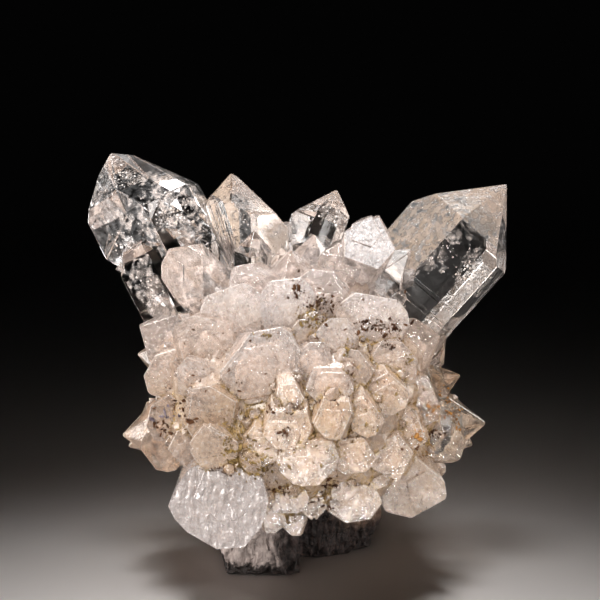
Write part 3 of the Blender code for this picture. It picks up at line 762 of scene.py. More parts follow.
# The cloudy quartz under the clear skin: nested bodies with the crystals' own
# faces, each further in and denser than the one before
milk_shells = []
for level, (inset, k) in enumerate(((0.45, 0.8), (1.2, 1.0))):
    parts = []
    for i, c in enumerate(crystals):
        long = c["axes"][0]
        size = max(c["sides"])
        d = inset * min(1.0, size / 3.5) * (0.7 + 0.9 * c["clear"])
        if min(c["sides"]) < d * 1.3:
            continue
        drop = k * size * (max(0.0, c["clear"] - 0.4) * 2.2)
        if c["clear"] > 0.9:
            drop = max(drop, c["length"] - 9.0 - 5.0 * level)
        if c["length"] - drop < 3:
            continue
        planes = [(-long, c["length"] - drop, CAP)] + [(n, v - d, w) for n, v, w in trims(c["name"], c["tip"])]
        _, first, side = c["axes"]
        for j in range(6):
            out = first * math.cos(math.radians(60 * j)) + side * math.sin(math.radians(60 * j))
            planes.append((out, c["sides"][j] - d, j))
            planes.append((out * math.cos(PYRAMID) + long * math.sin(PYRAMID), -c["setbacks"][j] - d, 6 + j))
            if c["lower"] and j in c["lower"]:
                planes.append((out * math.cos(PYRAMID) - long * math.sin(PYRAMID), c["lower"][j] - d, 12 + j))
        part = convex_body(planes)
        if len(part.faces) < 4 or not closed(part):
            part.free()
            continue
        bmesh.ops.translate(part, vec=c["tip"] - long * drop, verts=part.verts)
        parts.append(to_mesh(part, "shell", i))
    core = bmesh.new()
    core_lay = core.faces.layers.int.new("kind")
    bmesh.ops.create_icosphere(core, subdivisions=3, radius=1.0, matrix=Matrix.Translation(CORE_CENTRE)
                               @ Matrix.Diagonal((*[v - inset for v in CORE_SIZE], 1.0)))
    for face in core.faces:
        face[core_lay] = CORE
    body = united(to_mesh(core, "core", len(crystals)), parts)
    bm = bmesh.new()
    bm.from_mesh(body)
    bpy.data.meshes.remove(body)
    largest_island(bm)
    bmesh.ops.triangulate(bm, faces=bm.faces)
    for far in (2.4, 1.5):
        bmesh.ops.subdivide_edges(bm, edges=[e for e in bm.edges if e.calc_length() > far], cuts=1)
        bmesh.ops.triangulate(bm, faces=[f for f in bm.faces if len(f.verts) > 3])
    bm.normal_update()
    shell_lay = bm.faces.layers.int["kind"]
    dense, root = [], []
    for v in bm.verts:
        clearest = max(clear[min(f[shell_lay] // KINDS, count)] for f in v.link_faces)
        root.append(1.0 if clearest > 0.85 else 0.0)
        far = (v.co - Vector(CORE_CENTRE)).length
        dense.append(1.0 if clearest < 0.9 else float(smooth(27, 18, far)))
    for v in bm.verts:
        v.co += v.normal * (noise.noise(v.co * 0.55) - 0.15) * inset * 0.5
    for face in bm.faces:
        face.smooth = True
    obj = placed("milk_%d" % (level + 1), bm)
    store(obj.data, "dense", dense)
    store(obj.data, "root", root)
    milk_shells.append(obj)

# ---------------------------------------------------------------- clay and specks

skin = BVHTree.FromPolygons([Vector(c) for c in co], tri.tolist())


def front(x, z):
    """The front of the crystals at a height and a distance to the side."""
    hit = skin.ray_cast(Vector((x, -60, z)), Vector((0, 1, 0)))
    return (hit[0], hit[1]) if hit[0] else (None, None)


def flake(bm, point, normal, size, rnd, sink=0.3):
    """A small broken flake, half sunk in the face that carries it."""
    across = normal.orthogonal().normalized()
    across = (Matrix.Rotation(rnd.uniform(0, 6.28), 3, normal) @ across)
    other = normal.cross(across)
    corners = rnd.choice((4, 5, 5, 6))
    thick = size * rnd.uniform(0.25, 0.6)
    long, wide = size * rnd.uniform(0.6, 1.5), size * rnd.uniform(0.35, 0.8)
    low, high = [], []
    for k in range(corners):
        a = 2 * math.pi * (k + rnd.uniform(-0.25, 0.25)) / corners
        edge = across * math.cos(a) * long / 2 + other * math.sin(a) * wide / 2
        low.append(bm.verts.new(point + edge - normal * thick * sink))
        high.append(bm.verts.new(point + edge * rnd.uniform(0.5, 0.9) + normal * thick * (1 - sink)
                                 * rnd.uniform(0.5, 1.0)))
    bm.faces.new(low[::-1])
    bm.faces.new(high)
    for k in range(corners):
        n = (k + 1) % corners
        bm.faces.new((low[k], low[n], high[n], high[k]))


# Patches of specks: colour, x, z, spread across and up, how many, size (all mm)
SPECKS = [
    ("dark", -0.3, 42.9, 0.5, 0.8, 36, 0.36), ("dark", 2.6, 40.1, 1.6, 1.3, 130, 0.27), ("gold", 1.4, 38.9, 1.1, 1.0, 100, 0.28),
    ("gold", 6.2, 35.4, 0.4, 0.8, 26, 0.3), ("dark", 11.6, 35.4, 0.7, 0.4, 24, 0.28), ("gold", 14.0, 33.7, 0.6, 0.8, 30, 0.3),
    ("dark", 10.6, 37.4, 2.6, 0.7, 170, 0.25), ("gold", -4.2, 37.4, 0.8, 0.4, 22, 0.3), ("dark", -2.0, 25.0, 0.7, 0.9, 26, 0.3),
    ("dark", -3.6, 27.8, 0.35, 0.35, 8, 0.4), ("gold", -7.2, 23.0, 1.6, 1.9, 110, 0.3), ("gold", -5.0, 21.0, 1.6, 1.4, 90, 0.28),
    ("dark", -15.5, 27.0, 1.1, 0.5, 34, 0.4), ("dark", -18.3, 24.1, 1.0, 1.0, 44, 0.3), ("grey", -17.6, 25.7, 1.1, 0.7, 30, 0.34),
    ("rust", 15.6, 23.8, 0.5, 0.7, 24, 0.36), ("rust", 17.2, 26.8, 0.8, 0.5, 30, 0.3), ("rust", 21.8, 23.7, 0.6, 0.8, 30, 0.3),
    ("rust", 20.6, 25.7, 0.9, 0.7, 40, 0.3), ("dark", 17.4, 22.2, 1.8, 0.5, 80, 0.34), ("dark", -7.8, 31.0, 0.5, 0.8, 12, 0.24),
    ("dark", -5.4, 35.0, 2.2, 2.2, 22, 0.18), ("gold", -8.9, 25.0, 0.9, 2.2, 80, 0.3), ("dark", 3.9, 17.5, 0.7, 0.7, 26, 0.34),
    ("dark", -2.2, 17.5, 1.2, 0.9, 30, 0.28), ("dark", 14.5, 15.5, 1.9, 1.2, 50, 0.22), ("gold", 3.0, 22.6, 2.8, 1.8, 60, 0.24),
    ("dark", 6.0, 29.0, 5.0, 4.5, 110, 0.17), ("dark", -11, 31, 4.0, 4.0, 60, 0.16), ("gold", 9.5, 27, 4.5, 3.0, 90, 0.24),
    ("dark", -12, 39, 5.0, 4.0, 50, 0.15), ("dark", 3.0, 14.2, 3.5, 1.4, 60, 0.3), ("dark", 8, 41, 4.5, 1.8, 60, 0.18),
]
clay = {name: bmesh.new() for name in ("dark", "gold", "grey", "rust")}
for patch, (colour, x, z, wide, tall, number, size) in enumerate(SPECKS):
    for turn in range(number):
        rnd = random.Random(1000 * patch + turn)
        where, normal = front(rnd.gauss(x, wide * 0.75), rnd.gauss(z, tall * 0.75))
        if where is not None:
            flake(clay[colour], where, normal, size * min(3.0, math.exp(rnd.gauss(-0.15, 0.6))), rnd)
# Clay along the joints, where the stains are strong
bm = bmesh.new()
bm.from_mesh(mesh)
bm.normal_update()
corner_list, normals = [v.co / MM for v in bm.verts], [v.normal.copy() for v in bm.verts]
bm.free()
for i in np.nonzero((seam_gap < 0.28) & (stain > 0.25) & (milk > 0.3))[0]:
    rnd = placed_random(corner_list[i])
    if rnd.random() < 0.7 * stain[i]:
        colour = "gold" if noise.noise(corner_list[i] * 0.25) > -0.12 else "dark"
        if corner_list[i].x > 14 and noise.noise(corner_list[i] * 0.4) > 0:
            colour = "rust"
        flake(clay[colour], corner_list[i], normals[i], rnd.uniform(0.12, 0.36), rnd)
clay_objects = {}
for colour, bm in clay.items():
    bmesh.ops.recalc_face_normals(bm, faces=bm.faces)
    clay_objects[colour] = placed("clay_" + colour, bm)

# ---------------------------------------------------------------- veils and bubbles in the clear wings


def inside(c, point, margin):
    """Whether a point lies in a crystal, at least a margin under its faces."""
    long, first, side = c["axes"]
    rel = point - c["tip"]
    for j in range(6):
        out = first * math.cos(math.radians(60 * j)) + side * math.sin(math.radians(60 * j))
        if rel.dot(out) > c["sides"][j] - margin:
            return False
        if rel.dot(out * math.cos(PYRAMID) + long * math.sin(PYRAMID)) > -c["setbacks"][j] - margin:
            return False
        if c["lower"] and j in c["lower"]:
            if rel.dot(out * math.cos(PYRAMID) - long * math.sin(PYRAMID)) > c["lower"][j] - margin:
                return False
    return True


# Healed fractures: crystal, centre (mm), direction they face, half-size, waviness
VEILS = [
    ("left_wing", (-21.0, 3, 52.6), (0.25, -0.9, 0.45), 2.8, 0.7), ("left_wing", (-18.0, 2, 50.5), (-0.3, -0.9, 0.2), 4.2, 0.9),
    ("left_wing", (-25.2, -1, 49.8), (-0.5, -0.85, 0.1), 2.6, 0.4),
    ("left_wing_under", (-21.5, 0, 42.5), (-0.4, -0.9, 0.2), 3.5, 0.6), ("left_wing_under", (-19.5, 0, 38.5), (0.2, -0.9, 0.5), 3.0, 0.6),
    ("right_wing", (22.5, -1, 49.5), (0.5, -0.7, 0.6), 3.8, 0.8), ("right_wing", (18.5, 0, 46.5), (-0.4, -0.9, 0.3), 4.2, 0.9),
    ("right_wing", (24.0, -1, 43.5), (0.6, -0.7, -0.3), 3.4, 0.7), ("right_wing", (27.0, 0, 48.0), (0.9, -0.5, 0.1), 2.2, 0.4),
    ("rear_left_point", (-9.5, 6, 50.5), (-0.8, -0.6, 0.1), 2.6, 0.5), ("rear_right_point", (5.5, 9, 49), (0.3, -0.9, 0.3), 2.0, 0.4),
]
veils, grid = bmesh.new(), 34
rnd = random.Random(11)
for name, centre, facing, half, wavy in VEILS:
    c = crystals[named[name]]
    facing = Vector(facing).normalized()
    u = facing.orthogonal().normalized()
    v = facing.cross(u)
    seed = rnd.uniform(0, 50)
    points = {}
    for i in range(grid + 1):
        for j in range(grid + 1):
            a, b = (2 * i / grid - 1) * half, (2 * j / grid - 1) * half
            p = Vector(centre) + u * a + v * b
            p += facing * (wavy * noise.noise(p * 0.4 + Vector((seed, 0, 0))) + 0.18 * noise.noise(p * 1.6))
            ragged = math.hypot(a, b) / half + 0.45 * noise.noise(p * 0.7 + Vector((0, seed, 0)))
            if ragged < 0.92 and inside(c, p, 0.45):
                points[i, j] = p
    made = {}
    for key, p in points.items():
        made[key] = (veils.verts.new(p + facing * 0.02), veils.verts.new(p - facing * 0.02))
    edges = {}
    for (i, j) in points:
        ring = [(i, j), (i + 1, j), (i + 1, j + 1), (i, j + 1)]
        if all(r in made for r in ring):
            veils.faces.new([made[r][0] for r in ring])
            veils.faces.new([made[r][1] for r in ring][::-1])
            for a, b in zip(ring, ring[1:] + ring[:1]):
                edges[a, b] = True
    for a, b in edges:
        if (b, a) not in edges:
            veils.faces.new((made[b][0], made[a][0], made[a][1], made[b][1]))
bmesh.ops.delete(veils, geom=[v for v in veils.verts if not v.link_faces], context="VERTS")
for face in veils.faces:
    face.smooth = True
veil_object = placed("veils", veils)

# Trails of tiny bubbles: crystal, centre, half-sizes of the cloud (mm), how many
BUBBLES = [("left_wing", (-18.8, 1, 50.6), (2.4, 2.5, 2.2), 260), ("left_wing", (-24.5, 0, 47.5), (1.8, 2, 1.4), 150),
           ("left_wing", (-25.5, 1, 55.8), (1.0, 2, 2.0), 110), ("left_wing_under", (-20.5, 0, 40), (2, 2, 3), 160),
           ("right_wing", (24.5, -1, 42.8), (2.2, 2, 1.6), 240), ("right_wing", (18.5, -1, 46.5), (3.6, 2.5, 2.4), 260),
           ("right_wing", (24, -1, 51.5), (2.5, 2, 1.2), 110), ("rear_left_point", (-9, 6, 50), (1.8, 2, 2.5), 90),
           ("rear_right_point", (5, 9, 49.5), (1.8, 2, 2.5), 90)]
bubbles = bmesh.new()
for name, centre, spreads, number in BUBBLES:
    c = crystals[named[name]]
    for _ in range(number // 2):
        p = Vector([rnd.gauss(m, s * 0.6) for m, s in zip(centre, spreads)])
        if inside(c, p, 0.4):
            r = rnd.choice((0.03, 0.04, 0.05, 0.05, 0.08, 0.12)) * rnd.uniform(0.8, 1.3)
            bmesh.ops.create_icosphere(bubbles, subdivisions=1, radius=r, matrix=Matrix.Translation(p)
                                       @ Matrix.Diagonal((rnd.uniform(0.7, 1.8), 1, rnd.uniform(0.7, 1.8), 1)))
bubble_object = placed("bubbles", bubbles)

# ---------------------------------------------------------------- matrix rock

rock = bpy.data.objects.new("matrix_rock", frame["nodes"]["matrix_base"].data.copy())
bpy.context.scene.collection.objects.link(rock)
remesh = rock.modifiers.new("Remesh", "REMESH")
remesh.mode, remesh.voxel_size = "VOXEL", 0.28 * MM
graph = bpy.context.evaluated_depsgraph_get()
graph.update()
rock_mesh = bpy.data.meshes.new_from_object(rock.evaluated_get(graph))
bpy.data.objects.remove(rock)
rock_mesh.materials.clear()
bm = bmesh.new()
bm.from_mesh(rock_mesh)
bpy.data.meshes.remove(rock_mesh)
bm.normal_update()
for _ in range(3):
    bmesh.ops.smooth_vert(bm, verts=bm.verts, factor=0.5, use_axis_x=True, use_axis_y=True, use_axis_z=True)
bm.normal_update()
moved = []
for v in bm.verts:
    p, n = v.co / MM, v.normal
    lump = smooth(-2.6, -4.4, p.x) * smooth(2, -3, p.y)
    streak = noise.noise(Vector((p.x * 1.1, p.y * 1.1, p.z * 0.22)) + Vector((9, 0, 0)))
    streak += 0.5 * noise.noise(Vector((p.x * 2.8, p.y * 2.8, p.z * 0.5)))
    chunk = noise.fractal(p * 0.45, 0.9, 2.1, 4)
    cell = noise.voronoi(p * 0.55)[0]
    facet = cell[1] - cell[0]
    rough = 0.16 * noise.fractal(p * 2.2, 0.8, 2.0, 3)
    push = -0.55 - 0.65 * streak - 0.45 * chunk + 0.35 * min(facet, 0.8) + rough
    push = min(push, 0.0) if p.z < 11 else min(push, -0.1)
    low = float(smooth(0.0, 2.2, p.z))
    side = Vector((n.x, n.y, 0))
    move = n * push * low + side * (1 - low) * (push - 2.4 * max(0.0, noise.noise(Vector((p.x, p.y, 0)) * 0.75 + Vector((3, 1, 0))) + 0.12))
    if n.z < -0.5 and p.z < 2.5:
        # pits in the underside, which leave most of it flat
        move = Vector((0, 0, 0.9 * max(0.0, noise.noise(p * 0.7) - 0.12)))
    moved.append((v, move * MM))
for v, move in moved:
    v.co += move
    v.co.z = max(v.co.z, 0.0)
bmesh.ops.scale(bm, vec=(1 / MM,) * 3, verts=bm.verts)
rock_object = placed("matrix_rock", bm)
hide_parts("matrix_base")

# ---------------------------------------------------------------- materials


def new_material(name):
    mat = bpy.data.materials.new(name)
    mat.use_nodes = True
    return mat, mat.node_tree, mat.node_tree.nodes["Principled BSDF"]


def put(tree, socket, value):
    if isinstance(value, bpy.types.NodeSocket):
        tree.links.new(value, socket)
    elif value is not None:
        socket.default_value = value


def node(tree, kind, props=None, out=0, **inputs):
    """Add a node, set its sockets by name (spaces as _) and give one output."""
    made = tree.nodes.new(kind)
    for key, value in (props or {}).items():
        setattr(made, key, value)
    for key, value in inputs.items():
        put(tree, made.inputs[int(key[1:]) if key[1:].isdigit() else key.replace("_", " ")], value)
    return made.outputs[out]


def calc(tree, op, a, b=None, c=None, clamp=False):
    made = tree.nodes.new("ShaderNodeMath")
    made.operation, made.use_clamp = op, clamp
    for i, value in enumerate((a, b, c)):
        put(tree, made.inputs[i], value)
    return made.outputs[0]


def blend(tree, fac, a, b):
    """Mix two colours."""
    made = tree.nodes.new("ShaderNodeMix")
    made.data_type = "RGBA"
    put(tree, made.inputs[0], fac)
    put(tree, made.inputs[6], a)
    put(tree, made.inputs[7], b)
    return made.outputs[2]


def ramp(tree, value, low, high, to_low=0.0, to_high=1.0):
    return node(tree, "ShaderNodeMapRange", {"interpolation_type": "SMOOTHSTEP"}, 0, _0=value, _1=low, _2=high,
                _3=to_low, _4=to_high)


def attribute(tree, name, out=2):
    return node(tree, "ShaderNodeAttribute", {"attribute_name": name}, out)


def millimetres(tree):
    where = node(tree, "ShaderNodeTexCoord", None, 3)
    made = tree.nodes.new("ShaderNodeVectorMath")
    made.operation = "SCALE"
    put(tree, made.inputs[0], where)
    made.inputs[3].default_value = 1000.0
    return made.outputs[0]


def cloud(tree, where, scale, detail=4.0, rough=0.55, distortion=0.0):
    return node(tree, "ShaderNodeTexNoise", None, 0, Vector=where, Scale=scale, Detail=detail, Roughness=rough,
                Distortion=distortion)


def voronoi(tree, where, scale, feature="F1", out=0, randomness=1.0):
    return node(tree, "ShaderNodeTexVoronoi", {"feature": feature}, out, Vector=where, Scale=scale,
                Randomness=randomness)


def vector(tree, op, a, b=None, scale=None, out=0):
    made = tree.nodes.new("ShaderNodeVectorMath")
    made.operation = op
    put(tree, made.inputs[0], a)
    put(tree, made.inputs[1], b)
    if scale is not None:
        put(tree, made.inputs[3], scale)
    return made.outputs[out]


mat, nt, shader = new_material("quartz")
P = millimetres(nt)
a_milk, a_seam, a_stain = attribute(nt, "milk"), attribute(nt, "seam"), attribute(nt, "stain")
a_tone, a_worn_edge_sheen, a_prism = attribute(nt, "tone"), attribute(nt, "worn_edge_sheen"), attribute(nt, "prism")
a_warm, a_frost, a_cool = attribute(nt, "warmth"), attribute(nt, "frost"), attribute(nt, "cool")
a_mortar = attribute(nt, "mortar")
axis_v = attribute(nt, "caxis", 1)
a_flash, a_film_and_sheen = attribute(nt, "flash"), attribute(nt, "film_and_sheen")
milky = calc(nt, "MULTIPLY", ramp(nt, a_milk, 0.06, 0.4), calc(nt, "SUBTRACT", 1.0, calc(nt, "MULTIPLY", a_cool, 0.75)))
broad = cloud(nt, P, 0.22, 4)
fine = cloud(nt, P, 1.1, 5, 0.62)
grain = cloud(nt, P, 5.5, 4, 0.7)
along = vector(nt, "DOT_PRODUCT", P, axis_v, out=1)
drawn = vector(nt, "SUBTRACT", P, vector(nt, "SCALE", axis_v, scale=calc(nt, "MULTIPLY", along, 0.82)))
fibre = cloud(nt, drawn, 2.2, 4, 0.66)
mottle = cloud(nt, P, 1.9, 4, 0.66, 0.4)
milk_v = calc(nt, "ADD", a_milk, calc(nt, "MULTIPLY", calc(nt, "SUBTRACT", broad, 0.5), calc(nt, "MULTIPLY", milky, 0.8)))
milk_v = calc(nt, "ADD", milk_v, calc(nt, "MULTIPLY", calc(nt, "SUBTRACT", fine, 0.5), calc(nt, "MULTIPLY", milky, 0.9)))
milk_v = calc(nt, "ADD", milk_v, calc(nt, "MULTIPLY", calc(nt, "SUBTRACT", fibre, 0.5), calc(nt, "MULTIPLY", milky, 0.8)))
# Film faces turn milkier and paler: partly frosting, partly painted sheen.
milk_v = calc(nt, "ADD", milk_v, calc(nt, "MULTIPLY", a_film_and_sheen, ramp(nt, fine, 0.35, 0.6, 0.5, 1.3)))
# The flash face turns milkier: partly its frosting, partly painted highlight of the flash it catches.
milk_v = calc(nt, "ADD", milk_v, calc(nt, "MULTIPLY", a_flash, 0.4), clamp=True)
milk_v = ramp(nt, milk_v, 0.06, 1.0)
in_joint = ramp(nt, a_seam, 0.1, 0.9)
# water-clear where there is neither milk nor film with its painted sheen
plain = calc(nt, "MULTIPLY", ramp(nt, a_milk, 0.4, 0.08), ramp(nt, milk_v, 0.45, 0.1))
stain_n = ramp(nt, fine, 0.42, 0.6)
stain_v = calc(nt, "MULTIPLY", a_stain, calc(nt, "MULTIPLY", stain_n, calc(nt, "ADD", calc(nt, "MULTIPLY", in_joint, 0.95), 0.16)))
stain_v = calc(nt, "ADD", stain_v, calc(nt, "MULTIPLY", a_mortar, calc(nt, "MULTIPLY", a_stain, ramp(nt, fine, 0.35, 0.65, 0.15, 0.8))), clamp=True)
# thin healed cracks: narrow lines where a noise passes its middle value
crack = ramp(nt, calc(nt, "ABSOLUTE", calc(nt, "SUBTRACT", cloud(nt, P, 0.9, 3, 0.6, 0.6), 0.5)), 0.004, 0.022, 1.0, 0.0)
crack = calc(nt, "MULTIPLY", crack, calc(nt, "MULTIPLY", ramp(nt, broad, 0.42, 0.6), milky))
# Warmer low down through the warmth attribute: partly the quartz's own tint, partly painted warm light bounced up from
# below.
warm = calc(nt, "ADD", calc(nt, "MULTIPLY", a_warm, 0.8), calc(nt, "MULTIPLY", calc(nt, "SUBTRACT", a_tone, 0.5), 0.35))
warm = calc(nt, "ADD", warm, calc(nt, "MULTIPLY", a_stain, 0.25))
warm = calc(nt, "ADD", warm, calc(nt, "MULTIPLY", calc(nt, "SUBTRACT", broad, 0.5), 0.8))
# Film faces are warmer too, partly painted sheen.
warm = calc(nt, "ADD", warm, calc(nt, "MULTIPLY", a_film_and_sheen, 0.9))
warm = calc(nt, "SUBTRACT", warm, a_cool, clamp=True)
colour = blend(nt, warm, (0.69, 0.65, 0.64, 1), (0.57, 0.405, 0.265, 1))
colour = blend(nt, a_cool, colour, (0.48, 0.44, 0.43, 1))
# The flash face is painted pale: partly its frosting, partly painted highlight.
colour = blend(nt, a_flash, colour, (0.86, 0.87, 0.90, 1))
colour = blend(nt, calc(nt, "MULTIPLY", a_mortar, 0.7), colour, (0.52, 0.38, 0.28, 1))
colour = blend(nt, calc(nt, "MULTIPLY", ramp(nt, mottle, 0.48, 0.66), calc(nt, "MULTIPLY", milky, 0.5)), colour, (0.36, 0.25, 0.20, 1))
colour = blend(nt, calc(nt, "MULTIPLY", ramp(nt, fibre, 0.52, 0.68), calc(nt, "MULTIPLY", milky, 0.6)), colour, (0.40, 0.29, 0.23, 1))
colour = blend(nt, calc(nt, "MULTIPLY", ramp(nt, mottle, 0.44, 0.34), calc(nt, "MULTIPLY", milky, 0.6)), colour, (0.92, 0.86, 0.83, 1))
# Bevelled edges paler: partly rubbed wear, partly painted highlight along the edges.
colour = blend(nt, calc(nt, "MULTIPLY", calc(nt, "MULTIPLY", a_worn_edge_sheen, milky), 0.45), colour, (0.92, 0.88, 0.85, 1))
colour = blend(nt, calc(nt, "MULTIPLY", crack, 0.6), colour, (0.16, 0.09, 0.05, 1))
# dirt drawn thin along the joints
line = calc(nt, "MULTIPLY", ramp(nt, a_seam, 0.55, 0.95), ramp(nt, mottle, 0.42, 0.56, 0.15, 1.0))
line = calc(nt, "MULTIPLY", line, calc(nt, "MULTIPLY", milky, calc(nt, "ADD", calc(nt, "MULTIPLY", a_stain, 0.75), 0.25)))
colour = blend(nt, line, colour, (0.19, 0.115, 0.055, 1))
golden = blend(nt, ramp(nt, grain, 0.4, 0.6), (0.40, 0.26, 0.10, 1), (0.12, 0.07, 0.025, 1))
colour = blend(nt, stain_v, colour, golden)
# The water-clear parts also turn warm low down: partly own tint, partly painted warm bounce light.
colour = blend(nt, plain, colour, blend(nt, a_warm, (0.97, 0.97, 0.98, 1), (0.95, 0.87, 0.77, 1)))
put(nt, shader.inputs["Base Color"], colour)
trans = calc(nt, "SUBTRACT", 1.0, calc(nt, "MULTIPLY", milk_v, 0.6))
trans = calc(nt, "SUBTRACT", trans, calc(nt, "MULTIPLY", stain_v, 0.8))
trans = calc(nt, "SUBTRACT", trans, calc(nt, "MULTIPLY", crack, 0.25))
trans = calc(nt, "SUBTRACT", trans, calc(nt, "MULTIPLY", a_frost, 0.05), clamp=True)
put(nt, shader.inputs["Transmission Weight"], trans)
rough = calc(nt, "MULTIPLY", milk_v, ramp(nt, fine, 0.4, 0.62, 0.5, 0.12))
rough = calc(nt, "ADD", rough, calc(nt, "MULTIPLY", a_mortar, 0.15))
put(nt, shader.inputs["Roughness"], rough)
shader.inputs["IOR"].default_value = 1.544
lines = node(nt, "ShaderNodeTexNoise", {"noise_dimensions": "1D"}, 0, W=along, Scale=2.6, Detail=4.0, Roughness=0.7)
height = calc(nt, "MULTIPLY", lines, a_prism)
height = calc(nt, "ADD", height, calc(nt, "MULTIPLY", cloud(nt, P, 0.45, 3), 1.3))
height = calc(nt, "MULTIPLY", height, calc(nt, "SUBTRACT", 1.0, calc(nt, "MULTIPLY", plain, 0.95)))
height = calc(nt, "ADD", height, calc(nt, "MULTIPLY", fibre, calc(nt, "MULTIPLY", milky, 0.9)))
height = calc(nt, "ADD", height, calc(nt, "MULTIPLY", grain, calc(nt, "MULTIPLY", milky, 0.5)))
bump = node(nt, "ShaderNodeBump", None, 0, Strength=1.0, Distance=0.00004, Height=height)
# small facets that each tilt their own way, so that a few of them catch the light
chips = vector(nt, "SUBTRACT", voronoi(nt, P, 1.7, out=1), (0.5, 0.5, 0.5))
amount = calc(nt, "MULTIPLY", ramp(nt, fine, 0.45, 0.62), calc(nt, "ADD", calc(nt, "MULTIPLY", in_joint, 0.08), 0.03))
amount = calc(nt, "ADD", calc(nt, "MULTIPLY", a_frost, 0.38), calc(nt, "MULTIPLY", milky, amount))
normal = vector(nt, "NORMALIZE", vector(nt, "ADD", bump, vector(nt, "SCALE", chips, scale=amount)))
put(nt, shader.inputs["Normal"], normal)
put(nt, shader.inputs["Coat Weight"], calc(nt, "MULTIPLY", calc(nt, "SUBTRACT", 1.0, plain), 0.6))
shader.inputs["Coat Roughness"].default_value = 0.05
put(nt, shader.inputs["Coat Normal"], normal)
shadow = node(nt, "ShaderNodeBsdfTransparent", None, 0, Color=(0.86, 0.85, 0.84, 1))
lit = nt.nodes.new("ShaderNodeMixShader")
put(nt, lit.inputs[0], calc(nt, "MULTIPLY", node(nt, "ShaderNodeLightPath", None, 1), trans))
put(nt, lit.inputs[1], shader.outputs[0])
put(nt, lit.inputs[2], shadow)
put(nt, nt.nodes["Material Output"].inputs["Surface"], lit.outputs[0])
quartz.data.materials.append(mat)

for level, obj in enumerate(milk_shells):
    mat, nt, shader = new_material("milk_%d" % (level + 1))
    P = millimetres(nt)
    dense = attribute(nt, "dense")
    puff = cloud(nt, P, 0.7, 4, 0.65)
    if level == 0:
        put(nt, shader.inputs["Alpha"], calc(nt, "MULTIPLY", ramp(nt, puff, 0.42, 0.72, 0.0, 0.7), dense))
    else:
        put(nt, shader.inputs["Alpha"], ramp(nt, calc(nt, "ADD", dense, calc(nt, "MULTIPLY", calc(nt, "SUBTRACT", puff, 0.5), 1.2)), 0.25, 0.75))
    low = node(nt, "ShaderNodeSeparateXYZ", None, 2, Vector=P)
    # Warmer low down: partly the milk's own tint, partly painted warm light bounced up from below.
    warm = calc(nt, "MULTIPLY", cloud(nt, P, 0.12, 2), ramp(nt, low, 46.0, 24.0, 0.3, 1.5), clamp=True)
    colour = blend(nt, warm, (0.78, 0.71, 0.68, 1), (0.62, 0.44, 0.30, 1))
    colour = blend(nt, ramp(nt, cloud(nt, P, 0.8, 5, 0.7), 0.46, 0.62, 0.0, 0.75), colour, (0.22, 0.14, 0.095, 1))
    # Painted shade: the milk at the roots of the clear crystals is darkened for the light it loses on the way in.
    colour = blend(nt, calc(nt, "MULTIPLY", attribute(nt, "root"), 0.85), colour, (0.12, 0.095, 0.085, 1))
    put(nt, shader.inputs["Base Color"], colour)
    shader.inputs["Roughness"].default_value = 0.8
    shader.inputs["Specular IOR Level"].default_value = 0.0
    obj.data.materials.append(mat)

# Clay flakes
for name, light, dark in (("dark", (0.095, 0.042, 0.018, 1), (0.028, 0.012, 0.006, 1)),
                          ("gold", (0.25, 0.168, 0.06, 1), (0.085, 0.052, 0.02, 1)),
                          ("grey", (0.19, 0.16, 0.19, 1), (0.06, 0.045, 0.055, 1)),
                          ("rust", (0.36, 0.17, 0.045, 1), (0.12, 0.05, 0.016, 1))):
    mat, nt, shader = new_material("clay_" + name)
    P = millimetres(nt)
    put(nt, shader.inputs["Base Color"], blend(nt, ramp(nt, cloud(nt, P, 1.4, 3), 0.35, 0.65), light, dark))
    put(nt, shader.inputs["Roughness"], ramp(nt, cloud(nt, P, 9.0, 2), 0.3, 0.7, 0.45, 0.85))
    shader.inputs["Specular IOR Level"].default_value = 0.1
    put(nt, shader.inputs["Normal"], node(nt, "ShaderNodeBump", None, 0, Strength=0.8, Distance=0.00003,
                                          Height=cloud(nt, P, 14.0, 3)))
    clay_objects[name].data.materials.append(mat)

# Healed fractures: silvery where the gap is open, nothing where it has closed
mat, nt, shader = new_material("veil")
P = millimetres(nt)
open_v = ramp(nt, cloud(nt, P, 0.8, 6, 0.66), 0.44, 0.72, 0.0, 0.42)
put(nt, shader.inputs["Alpha"], calc(nt, "MULTIPLY", open_v, ramp(nt, cloud(nt, P, 0.35, 2), 0.35, 0.6, 0.25, 1.0)))
put(nt, shader.inputs["Base Color"], blend(nt, ramp(nt, cloud(nt, P, 0.8, 2), 0.4, 0.6), (0.95, 0.94, 0.96, 1), (0.90, 0.80, 0.74, 1)))
shader.inputs["Metallic"].default_value = 0.2
put(nt, shader.inputs["Roughness"], ramp(nt, cloud(nt, P, 2.5, 3), 0.35, 0.65, 0.18, 0.5))
flakes = vector(nt, "SUBTRACT", voronoi(nt, P, 3.2, out=1), (0.5, 0.5, 0.5))
facing_v = node(nt, "ShaderNodeNewGeometry", None, 1)
put(nt, shader.inputs["Normal"], vector(nt, "NORMALIZE", vector(nt, "ADD", facing_v, vector(nt, "SCALE", flakes, scale=0.28))))
veil_object.data.materials.append(mat)

mat, nt, shader = new_material("bubbles")
P = millimetres(nt)
put(nt, shader.inputs["Base Color"], blend(nt, ramp(nt, cloud(nt, P, 1.0, 2), 0.4, 0.6), (0.95, 0.94, 0.93, 1), (0.80, 0.70, 0.62, 1)))
shader.inputs["Metallic"].default_value = 0.3
shader.inputs["Roughness"].default_value = 0.12
bubble_object.data.materials.append(mat)

